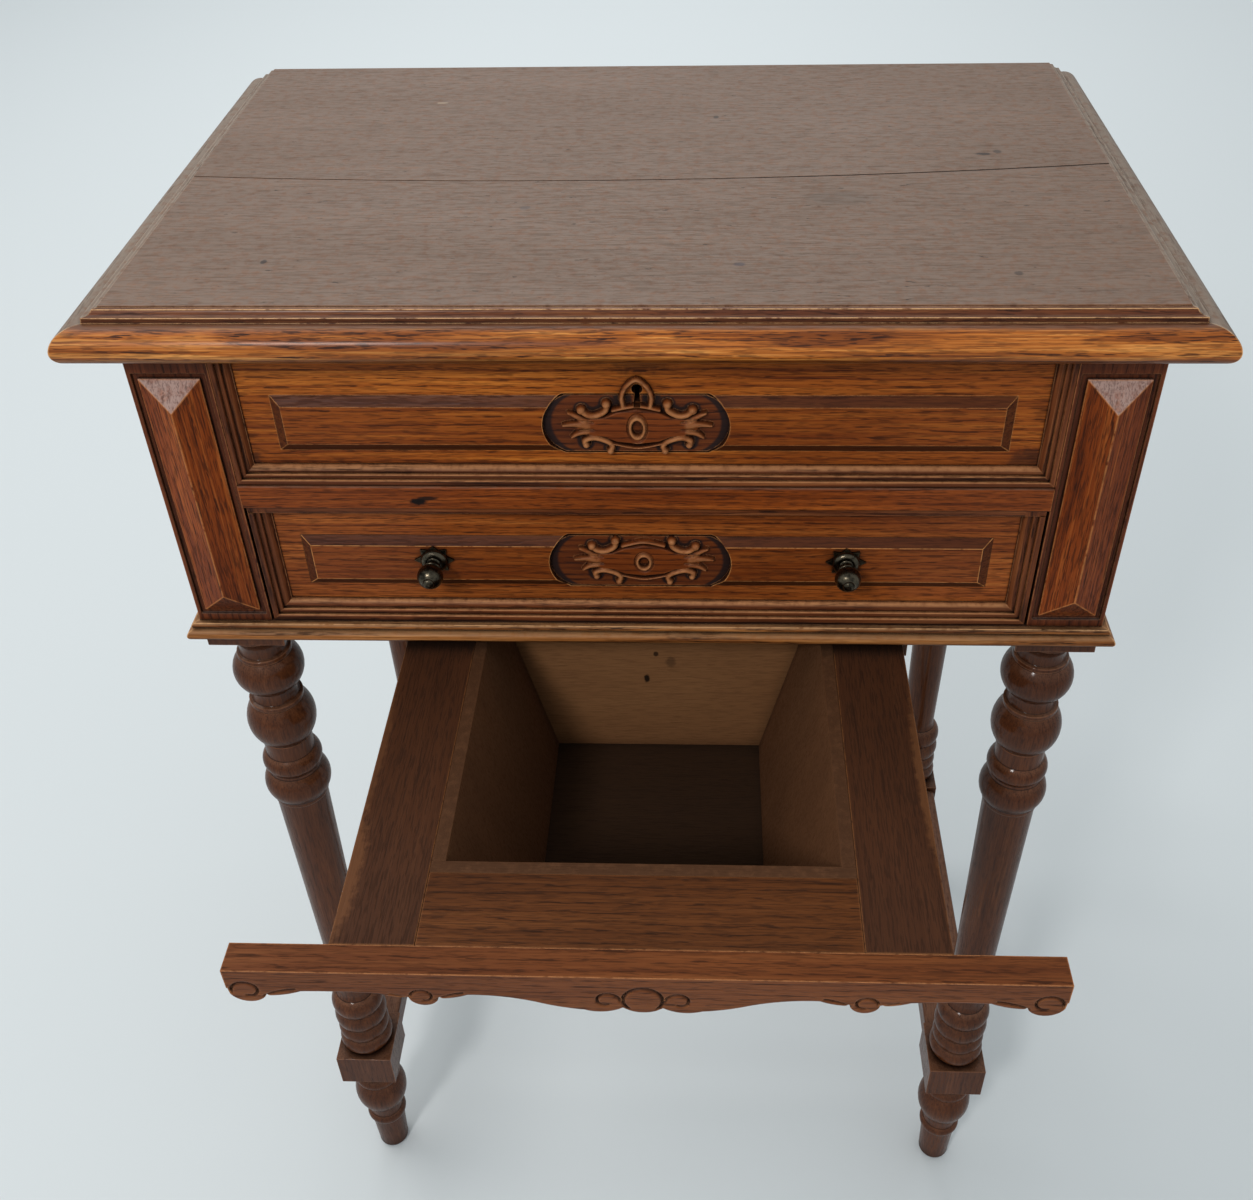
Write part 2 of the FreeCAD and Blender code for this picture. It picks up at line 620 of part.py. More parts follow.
# ---------------------------------------------------------------- drawer
DRAWER_HALF = INNER - 1.2
DRAWER_LOW = BOARD_TOP + 0.8
DRAWER_TOP = RAIL_LOW - 0.8
DRAWER_FIELD = (587.6, 619.2)
DRAWER_FRONT_T = 14.0
DRAWER_SIDE_T = 9.0
DRAWER_SIDE_TOP = 628.0
DRAWER_SIDE_OUT = GUIDE_IN - 0.8
DRAWER_BACK = BACK - BACK_T - 14.0
DRAWER_FLOOR_T = 4.0
DRAWER_FLOOR_Z = DRAWER_LOW + 5.0
GROOVE = 3.0
KNOB_XS = (-107.5, 102.5)
KNOB_Z = 606.0
FIELD_FACE = PANEL_FACE - FIELD_RISE


def drawer_front():
    """The drawer front: a board with a raised field in two halves, bored for the knobs."""
    low, top = DRAWER_FIELD
    board = block(-DRAWER_HALF, DRAWER_HALF, PANEL_FACE, PANEL_FACE + DRAWER_FRONT_T, DRAWER_LOW, DRAWER_TOP)
    board = joined([board, raised_field(FIELD_HALF, low, top)])
    board = board.cut(carved_hollow(low, top, DRAWER_NOTCH_HALF))
    for x in KNOB_XS:
        board = board.cut(rod(1.8, V(x, FIELD_FACE - 1, KNOB_Z), V(0, 1, 0), 15.0))
    return board


def drawer_mouldings():
    """The stepped strips on the drawer front, and the thin strip along its top edge."""
    strips = panel_strips(DRAWER_HALF, DRAWER_LOW, DRAWER_TOP, DRAWER_STRIP_W, DRAWER_TOP - 3.2)
    top = block(-DRAWER_HALF, DRAWER_HALF, FRONT + 0.6, PANEL_FACE, DRAWER_TOP - 3.2, DRAWER_TOP)
    return strips + [top]


def drawer_floor_box(grow):
    """The drawer's thin floor, let into grooves: grow is how far it reaches into the boards."""
    side = DRAWER_SIDE_OUT - DRAWER_SIDE_T + grow
    return block(-side, side, PANEL_FACE + DRAWER_FRONT_T, DRAWER_BACK, DRAWER_FLOOR_Z,
                 DRAWER_FLOOR_Z + DRAWER_FLOOR_T)


def drawer_side(side):
    """A drawer side, grooved for the floor."""
    inner, outer = sorted((side * (DRAWER_SIDE_OUT - DRAWER_SIDE_T), side * DRAWER_SIDE_OUT))
    board = block(inner, outer, PANEL_FACE + DRAWER_FRONT_T, DRAWER_BACK, DRAWER_LOW, DRAWER_SIDE_TOP)
    return board.cut(drawer_floor_box(GROOVE))


def drawer_back():
    """The back of the drawer, above the floor, between the sides."""
    side = DRAWER_SIDE_OUT - DRAWER_SIDE_T
    return block(-side, side, DRAWER_BACK - 8, DRAWER_BACK, DRAWER_FLOOR_Z + DRAWER_FLOOR_T,
                 DRAWER_SIDE_TOP - 4)


KNOB_FACE = FIELD_FACE - 1.2      # front of the knob's backplate


def knob(x):
    """A turned metal knob: flange, waist, ball with a small finial, and a stem into the drawer front."""
    shape = [(0, 0), (7.0, 0), ((6.2, 2.2), (3.4, 2.8)), ((2.6, 4.6), (3.4, 6.4)), (4.4, 7.0),
             ((4.7, 7.6), (4.0, 8.2)), ((6.6, 13.6), (3.0, 18.8)), ((2.4, 20.0), (1.0, 20.6)), (0, 20.6)]
    face = outline(shape, lambda r, out: V(x + r, KNOB_FACE - out, KNOB_Z))
    ball = face.revolve(V(x, 0, KNOB_Z), V(0, 1, 0), 360)
    stem = rod(1.8, V(x, KNOB_FACE, KNOB_Z), V(0, 1, 0), 12.0)
    return joined([ball, stem])


def rosette(x):
    """The pierced leaf-shaped backplate under a knob: eight points, longer ones to the sides."""
    points = []
    for i in range(16):
        angle = math.pi / 8 * i
        reach = 10.2 - 1.6 * math.sin(angle) ** 2 if i % 2 == 0 else 6.6
        points.append((x + reach * math.cos(angle), KNOB_Z + reach * math.sin(angle)))
    plate = elevation(points, KNOB_FACE, FIELD_FACE)
    return plate.cut(rod(1.8, V(x, KNOB_FACE - 1, KNOB_Z), V(0, 1, 0), 4))


# ---------------------------------------------------------------- work bin
def bin_side_rail(side):
    """A side rail of the bin's frame, running its full length."""
    inner, outer = sorted((side * (FRAME_HALF - FRAME_RAIL), side * FRAME_HALF))
    return block(inner, outer, APRON_BACK, FRAME_BACK, BIN_TOP - FRAME_T, BIN_TOP)


def bin_end_rail(y0, y1):
    """The front or rear rail, between the side rails."""
    half = FRAME_HALF - FRAME_RAIL
    return block(-half, half, y0, y1, BIN_TOP - FRAME_T, BIN_TOP)


HOPPER_FLOOR_Z = BIN_TOP - HOPPER_D
HOPPER_FLOOR_T = 6.0
WALL_TOP = FRAME_HALF - FRAME_RAIL


def hopper_side(side):
    """A sloping side wall of the hopper, thickened where it is nailed into the frame."""
    low = HOPPER_FLOOR_Z
    shape = [(HOPPER_TOP, BIN_TOP), (WALL_TOP, BIN_TOP), (WALL_TOP, BIN_TOP - FRAME_T),
             (HOPPER_LOW + WALL, low), (HOPPER_LOW, low)]
    wall = elevation([(side * x, z) for x, z in shape], MOUTH_FRONT, MOUTH_BACK)
    ahead = [(MOUTH_FRONT, BIN_TOP + 1), (MOUTH_FRONT, BIN_TOP), (MOUTH_FRONT + HOPPER_RAKE, low),
             (MOUTH_FRONT, low)]
    return wall.cut(side_prism(ahead))


def side_prism(points):
    """A prism across the bin with its outline in the YZ plane."""
    return outline(points, lambda a, b: V(-WALL_TOP, a, b)).extrude(V(2 * WALL_TOP, 0, 0))


def hopper_end(y0, y1):
    """The space between the outer faces of the hopper's side walls, from y0 to y1."""
    low = HOPPER_FLOOR_Z
    half = [(WALL_TOP, BIN_TOP), (WALL_TOP, BIN_TOP - FRAME_T), (HOPPER_LOW + WALL, low)]
    shape = half + [(-x, z) for x, z in reversed(half)]
    return elevation(shape, y0, y1)


def hopper_front_wall():
    """The front wall, which leans back as it goes down."""
    low = HOPPER_FLOOR_Z
    foot = MOUTH_FRONT + HOPPER_RAKE
    shape = [(MOUTH_FRONT, BIN_TOP), (MOUTH_FRONT - WALL, BIN_TOP), (MOUTH_FRONT - WALL, BIN_TOP - FRAME_T),
             (foot - WALL, low), (foot, low)]
    return side_prism(shape).common(hopper_end(MOUTH_FRONT - WALL, foot))


def hopper_floor():
    """The floor under the hopper's four walls."""
    half = HOPPER_LOW + WALL
    return block(-half, half, MOUTH_FRONT + HOPPER_RAKE - WALL, MOUTH_BACK + WALL,
                 HOPPER_FLOOR_Z - HOPPER_FLOOR_T, HOPPER_FLOOR_Z)


def apron():
    """The apron in front of the bin, with scrolls and small leaves cut along its lower edge."""
    half = [(176, 0), (176, -11), ((168.4, -22.4), (160.4, -17.6)), ((152.5, -17.4), (145, -14.2)),
            (112, -15.0), ((105, -17.2), (99.4, -17.2)), ((93, -22.8), (86.6, -17.6)),
            ((80, -17.4), (74, -15.0)), ((58, -15.8), (45, -19.0)), ((34, -22.4), (25, -23.6)),
            ((17.5, -25.2), (9.4, -22.4)), (8.6, -21.4)]
    boss = [((0, -25.4), (-8.6, -21.4))]
    face = outline(half + boss + mirrored_run(half), lambda x, z: V(x, APRON_FACE, BIN_TOP + z))
    return face.extrude(V(0, APRON_T, 0))


def mirrored_run(steps):
    """The same run of an outline on the other side, walked backwards."""
    ends = [step[1] if isinstance(step[0], tuple) else step for step in steps]
    run = []
    for i in range(len(steps) - 1, 0, -1):
        x, z = ends[i - 1]
        if isinstance(steps[i][0], tuple):
            mid_x, mid_z = steps[i][0]
            run.append(((-mid_x, mid_z), (-x, z)))
        else:
            run.append((-x, z))
    return run


# ---------------------------------------------------------------- bin runners
RUNNER_IN = 118.0
RUNNER_WEB = FRAME_HALF + 0.4
RUNNER_OUT = RUNNER_WEB + 5.0
RUNNER_PLAY = 0.3         # above and below the rail that slides in it
RUNNER_HIGH = BIN_TOP + RUNNER_PLAY
RUNNER_LOW = BIN_TOP - FRAME_T - RUNNER_PLAY
RUNNER_FLANGE = 5.0       # thickness under the rail
RUNNER_LIP = 4.0          # how far the flange stops short, inwards
RUNNER_FRONT = APRON_BACK + 208.0
RUNNER_BACK = BACK - 12.0
RUNNER_SCREW_R = 1.5


def runner_screw_spots(side):
    """Plan positions of a runner's screws."""
    return [V(side * 125.0, RUNNER_FRONT + d, 0) for d in (30.0, 145.0, 260.0)]


def bin_runner(side):
    """The channel under the box that carries one rail of the bin."""
    lip = RUNNER_IN + RUNNER_LIP
    under = RUNNER_LOW - RUNNER_FLANGE
    shape = [(RUNNER_IN, BOX_Z), (RUNNER_OUT, BOX_Z), (RUNNER_OUT, under), (lip, under),
             (lip, RUNNER_LOW), (RUNNER_WEB, RUNNER_LOW), (RUNNER_WEB, RUNNER_HIGH),
             (RUNNER_IN, RUNNER_HIGH)]
    runner = elevation([(side * x, z) for x, z in shape], RUNNER_FRONT, RUNNER_BACK)
    for spot in runner_screw_spots(side):
        runner = runner.cut(runner_screw(spot))
    return runner


def runner_screw(spot):
    """A countersunk screw up through a runner into the bottom board."""
    start = V(spot.x, spot.y, RUNNER_HIGH)
    head = Part.makeCone(3.2, RUNNER_SCREW_R, 2.0, start, V(0, 0, 1))
    return joined([head, rod(RUNNER_SCREW_R, start, V(0, 0, 1), 11.0)])


# ---------------------------------------------------------------- all the parts
def build():
    """Every sub-part by name."""
    upper = panel_strips(INNER, RAIL_TOP, BOX_TOP, STRIP_W, BOX_TOP)
    hinges = (-HINGE_X, HINGE_X)
    parts = {
        "cross_stretcher": cross_stretcher(),
        "post_lozenges": group([lozenge(-1), lozenge(1)]),
        "back_panel": back_panel(),
        "bottom_board": bottom_board(),
        "base_moulding_front": base_moulding(0),
        "upper_front_panel": upper_front_panel(),
        "upper_front_mouldings": group(upper),
        "divider_rail": divider_rail(),
        "well_floor": well_floor(),
        "well_dividers": group([well_long_divider(), well_cross_divider(-CROSS_X),
                                well_cross_divider(CROSS_X)]),
        "drawer_guides": group([drawer_guide(-1), drawer_guide(1)]),
        "bin_runner_screws": group([runner_screw(spot) for side in (-1, 1)
                                    for spot in runner_screw_spots(side)]),
        "lock_case": lock_case(),
        "lock_screws": group([lock_screw(x, z) for x, z in lock_screw_spots()]),
        "lock_bolt": lock_bolt(),
        "lock_strike_plate": strike_plate(),
        "hinge_box_leaves": group([hinge_leaf(x, False) for x in hinges]),
        "hinge_lid_leaves": group([hinge_leaf(x, True) for x in hinges]),
        "hinge_pins": group([hinge_pin(x) for x in hinges]),
        "hinge_box_screws": group([hinge_screw(s, BOX_TOP, False) for x in hinges for s in screw_spots(x)]),
        "hinge_lid_screws": group([hinge_screw(s, LID_LOW, True) for x in hinges for s in screw_spots(x)]),
        "lid_front_board": lid_field(True),
        "lid_rear_board": lid_field(False),
        "lid_moulding_front": lid_moulding(0),
        "drawer_front": drawer_front(),
        "drawer_front_mouldings": group(drawer_mouldings()),
        "drawer_back": drawer_back(),
        "drawer_bottom": drawer_floor_box(GROOVE),
        "drawer_knobs": group([knob(x) for x in KNOB_XS]),
        "knob_rosettes": group([rosette(x) for x in KNOB_XS]),
        "bin_front_rail": bin_end_rail(APRON_BACK, MOUTH_FRONT - WALL),
        "bin_rear_rail": bin_end_rail(MOUTH_BACK + WALL, FRAME_BACK),
        "bin_apron": apron(),
        "hopper_front_wall": hopper_front_wall(),
        "hopper_rear_wall": hopper_end(MOUTH_BACK, MOUTH_BACK + WALL),
        "hopper_floor": hopper_floor(),
    }
    for side, word in ((-1, "left"), (1, "right")):
        parts["front_%s_leg" % word] = leg(side * LEG_X, LEG_FRONT)
        parts["rear_%s_leg" % word] = leg(side * LEG_X, LEG_BACK)
        parts["%s_stretcher" % word] = side_stretcher(side)
        parts["front_%s_post" % word] = front_post(side)
        parts["rear_%s_post" % word] = rear_post(side)
        parts["%s_side_panel" % word] = side_panel(side)
        parts["base_moulding_%s" % word] = base_moulding(side)
        parts["%s_bin_runner" % word] = bin_runner(side)
        parts["lid_moulding_%s" % word] = lid_moulding(side)
        parts["drawer_%s_side" % word] = drawer_side(side)
        parts["bin_%s_rail" % word] = bin_side_rail(side)
        parts["hopper_%s_wall" % word] = hopper_side(side)
    for name, shape in parts.items():
        if name.startswith(("bin_", "hopper_")) or name.endswith("_bin_runner"):
            shape.translate(V(BIN_X, 0, 0))
    parts["bin_apron"].translate(V(APRON_SHIFT, 0, 0))
    return parts


def main():
    os.makedirs("parts", exist_ok=True)
    for name, shape in sorted(build().items()):
        if not shape.isValid():
            print("not valid:", name)
        shape.exportStep("parts/%s.step" % name)


main()
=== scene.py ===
import json
import math
import random

import bmesh
import bpy
import numpy as np
from mathutils import Matrix, Vector


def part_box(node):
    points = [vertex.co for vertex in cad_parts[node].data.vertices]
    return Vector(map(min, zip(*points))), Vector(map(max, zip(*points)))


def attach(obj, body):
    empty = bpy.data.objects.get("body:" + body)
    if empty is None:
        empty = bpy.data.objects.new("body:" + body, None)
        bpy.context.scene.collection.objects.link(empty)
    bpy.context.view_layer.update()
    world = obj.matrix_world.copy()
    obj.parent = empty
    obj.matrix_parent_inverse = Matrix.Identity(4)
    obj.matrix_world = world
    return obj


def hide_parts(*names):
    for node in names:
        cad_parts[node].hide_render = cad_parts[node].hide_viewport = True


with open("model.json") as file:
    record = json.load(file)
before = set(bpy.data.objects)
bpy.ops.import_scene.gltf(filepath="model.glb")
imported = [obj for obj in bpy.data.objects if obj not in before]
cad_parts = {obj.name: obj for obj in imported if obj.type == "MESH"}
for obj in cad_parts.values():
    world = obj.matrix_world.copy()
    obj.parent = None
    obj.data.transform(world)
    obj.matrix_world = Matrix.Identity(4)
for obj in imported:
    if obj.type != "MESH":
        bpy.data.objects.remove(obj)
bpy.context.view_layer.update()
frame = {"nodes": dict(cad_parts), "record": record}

# Vintage oak sewing table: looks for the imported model. Metres, in the model's own frame.
MM = 0.001
NODES = frame["nodes"]
BODY_OF = {node: body for body, nodes in frame["record"]["behaviour"]["bodies"].items() for node in nodes}
SLOT_OF = {part["node"]: part["material_slot"] for part in frame["record"]["subparts"]}


# ---------------------------------------------------------------- shader helpers
class Graph:
    """Builds shader nodes in one tree. Every method but node returns an output socket."""

    def __init__(self, tree):
        self.tree = tree

    def node(self, kind, inputs=None, **settings):
        """Adds a node; inputs are sockets to link from, or values. Returns the node itself."""
        made = self.tree.nodes.new(kind)
        for key, value in settings.items():
            setattr(made, key, value)
        for key, value in (inputs or {}).items():
            if isinstance(value, bpy.types.NodeSocket):
                self.tree.links.new(value, made.inputs[key])
            else:
                made.inputs[key].default_value = value
        return made

    def math(self, operation, a, b=0.0, clamp=False):
        return self.node("ShaderNodeMath", {0: a, 1: b}, operation=operation, use_clamp=clamp).outputs[0]

    def vector(self, operation, a, b=(0, 0, 0)):
        made = self.node("ShaderNodeVectorMath", {0: a, 1: b}, operation=operation)
        return made.outputs["Value" if operation in ("LENGTH", "DOT_PRODUCT") else "Vector"]

    def noise(self, vector, scale, detail=2.0, roughness=0.55):
        """Noise in 0..1; scale may differ along the three axes."""
        if not isinstance(scale, tuple):
            scale = (scale, scale, scale)
        place = self.vector("MULTIPLY", vector, scale)
        inputs = {"Vector": place, "Scale": 1.0, "Detail": detail, "Roughness": roughness}
        return self.node("ShaderNodeTexNoise", inputs).outputs[0]

    def step(self, value, low, high, start=0.0, end=1.0):
        """A smooth step of value from low to high, giving start to end."""
        inputs = {"Value": value, "From Min": low, "From Max": high, "To Min": start, "To Max": end}
        return self.node("ShaderNodeMapRange", inputs, interpolation_type="SMOOTHSTEP").outputs[0]

    def blend(self, factor, a, b, mode="MIX"):
        """Colour a where factor is 0, and b (or a blended with b) where it is 1."""
        made = self.node("ShaderNodeMix", data_type="RGBA", blend_type=mode)
        for socket, value in zip((made.inputs[0], made.inputs[6], made.inputs[7]), (factor, a, b)):
            if isinstance(value, bpy.types.NodeSocket):
                self.tree.links.new(value, socket)
            else:
                socket.default_value = value if isinstance(value, float) else (*value, 1.0)
        return made.outputs[2]


def linear(*rgb):
    """A linear colour from 0..255 display values."""
    return tuple(c / 12.92 if c <= 0.04045 else ((c + 0.055) / 1.055) ** 2.4 for c in (v / 255 for v in rgb))


def figure_group():
    """The figure of oak, in board space: X runs along the grain, and the pith is the X axis."""
    tree = bpy.data.node_groups.new("oak_figure", "ShaderNodeTree")
    tree.interface.new_socket("Board", in_out="INPUT", socket_type="NodeSocketVector")
    tree.interface.new_socket("Rings", in_out="INPUT", socket_type="NodeSocketFloat")
    tree.interface.new_socket("Banding", in_out="INPUT", socket_type="NodeSocketFloat")
    tree.interface.new_socket("Contrast", in_out="INPUT", socket_type="NodeSocketFloat")
    for name in ("Tone", "Pores", "Fibre", "Blotch"):
        tree.interface.new_socket(name, in_out="OUTPUT", socket_type="NodeSocketFloat")
    g = Graph(tree)
    start = g.node("NodeGroupInput")
    board, banding = start.outputs["Board"], start.outputs["Banding"]
    across = g.vector("MULTIPLY", board, (0, 1, 1))
    radius = g.vector("LENGTH", across)
    drift = g.noise(board, (5, 26, 26), 2)
    waver = g.noise(board, (28, 160, 160), 2)
    radius = g.math("ADD", radius, g.math("MULTIPLY", g.math("SUBTRACT", drift, 0.5), 0.009))
    radius = g.math("ADD", radius, g.math("MULTIPLY", g.math("SUBTRACT", waver, 0.5), 0.0016))
    phase = g.math("FRACT", g.math("MULTIPLY", radius, start.outputs["Rings"]))
    early = g.math("MULTIPLY", g.step(phase, 0.0, 0.12), g.step(phase, 0.55, 0.22))
    pores = g.step(g.noise(board, (95, 1500, 1500), 1), 0.52, 0.62)
    dashes = g.step(g.noise(board, (80, 900, 900), 2), 0.54, 0.65)
    banded = g.math("MULTIPLY", early, banding)
    share = g.math("SUBTRACT", 1.0, g.math("SUBTRACT", banding, banded))
    dark = g.math("MULTIPLY", g.math("MAXIMUM", g.math("MULTIPLY", pores, 0.8), dashes), share)
    fibre = g.noise(board, (14, 900, 900), 3, 0.65)
    streak = g.noise(board, (4, 130, 130), 3, 0.6)
    blotch = g.noise(board, (5, 16, 16), 3, 0.55)
    tone = g.math("MULTIPLY", banded, -0.26)
    tone = g.math("ADD", tone, g.math("MULTIPLY", g.math("SUBTRACT", fibre, 0.5), 0.7))
    tone = g.math("ADD", tone, g.math("MULTIPLY", g.math("SUBTRACT", streak, 0.5), 0.65))
    tone = g.math("ADD", 0.60, g.math("MULTIPLY", tone, start.outputs["Contrast"]))
    end = g.node("NodeGroupOutput")
    for name, socket in (("Tone", tone), ("Pores", dark), ("Fibre", fibre), ("Blotch", blotch)):
        tree.links.new(socket, end.inputs[name])
    return tree


FIGURE = figure_group()
BOARD_AXES = {"x": (0, 1, 2), "y": (1, 0, 2), "z": (2, 0, 1)}


def board_space(g, grain, pith, mitre=None):
    """Object coordinates with the grain along X, measured from the pith.

    mitre is the (half width, height) of a frame's inner corner: beyond it the grain turns upright.
    """
    place = g.node("ShaderNodeTexCoord").outputs["Object"]
    split = g.node("ShaderNodeSeparateXYZ", {0: place})
    joined = []
    for order in (BOARD_AXES[grain], BOARD_AXES["z"]):
        sockets = {i: split.outputs[order[i]] for i in range(3)}
        joined.append(g.node("ShaderNodeCombineXYZ", sockets).outputs[0])
    board = joined[0]
    if mitre:
        beyond = g.math("SUBTRACT", g.math("ABSOLUTE", split.outputs[0]), mitre[0])
        below = g.math("SUBTRACT", mitre[1], split.outputs[2])
        upright = g.math("GREATER_THAN", g.math("MINIMUM", beyond, g.math("SUBTRACT", beyond, below)), 0.0)
        board = g.node("ShaderNodeMix", {0: upright, 4: joined[0], 5: joined[1]},
                       data_type="VECTOR").outputs[1]
    return place, g.vector("SUBTRACT", board, pith)


def edge_mask(g, radius):
    """1 along outer edges and arrises, 0 on flats."""
    rounded = g.node("ShaderNodeBevel", {"Radius": radius}, samples=4).outputs[0]
    normal = g.node("ShaderNodeNewGeometry").outputs["Normal"]
    alike = g.vector("DOT_PRODUCT", rounded, normal)
    return g.step(g.math("SUBTRACT", 1.0, alike), 0.006, 0.07)


def crevice(g, distance):
    """1 in the open, down to 0 in a tight corner."""
    return g.node("ShaderNodeAmbientOcclusion", {"Distance": distance}, samples=6).outputs["AO"]


class Oak:
    """One finish of oak: its colours, how strong its figure is, how worn and dirty it is, and the painted
    shade and sheen it is given.
    """

    def __init__(self, dark, mid, light, pore, worn, **other):
        self.dark, self.mid, self.light, self.pore, self.worn = dark, mid, light, pore, worn
        self.pore_strength = other.get("pore_strength", 0.85)
        self.wear = other.get("wear", 0.6)
        self.grime_and_shade = other.get("grime_and_shade", 0.9)
        self.upward_tint = other.get("upward_tint")      # (colour, strength, upward slopes where it starts and is full) of a tint on faces turned up
        self.slant_shade = other.get("slant_shade")    # (colour, strength) of painted shade on faces turned away from the front
        self.rings = other.get("rings", 290.0)
        self.contrast = other.get("contrast", 1.0)
        self.banding = other.get("banding", 0.75)
        self.roughness = other.get("roughness", 0.42)
        self.specular = other.get("specular", 0.12)
        self.coat = other.get("coat", 0.0)
        self.bump = other.get("bump", 0.25)
        self.reach = other.get("reach", 0.0012)
        self.nicks = other.get("nicks", 0.0)
        self.coat_roughness = other.get("coat_roughness", 0.22)
        self.crease = other.get("crease", 0.012)    # how wide the dirt and painted shade in its corners is


def spot_mask(g, place, middle, reach):
    """1 inside a ragged ellipsoid, 0 outside."""
    away = g.vector("DIVIDE", g.vector("SUBTRACT", place, middle), reach)
    ragged = g.math("MULTIPLY", g.math("SUBTRACT", g.noise(place, 260, 4, 0.65), 0.5), 1.1)
    return g.step(g.math("ADD", g.vector("LENGTH", away), ragged), 1.1, 0.55)


def crack_mask(g, place, crack):
    """1 along a ragged line on the lid: y is a quadratic in x, and its half width grows with x."""
    at_middle, slope, bend, wide, growth = crack
    split = g.node("ShaderNodeSeparateXYZ", {0: place})
    x = split.outputs[0]
    line = g.math("ADD", at_middle, g.math("MULTIPLY", x, g.math("ADD", slope, g.math("MULTIPLY", x, bend))))
    ragged = g.math("MULTIPLY", g.math("SUBTRACT", g.noise(place, 120, 4, 0.7), 0.5), 0.0011)
    away = g.math("ABSOLUTE", g.math("ADD", g.math("SUBTRACT", split.outputs[1], line), ragged))
    half = g.math("ADD", wide, g.math("MULTIPLY", x, growth))
    return g.step(g.math("DIVIDE", away, half), 1.0, 0.45)


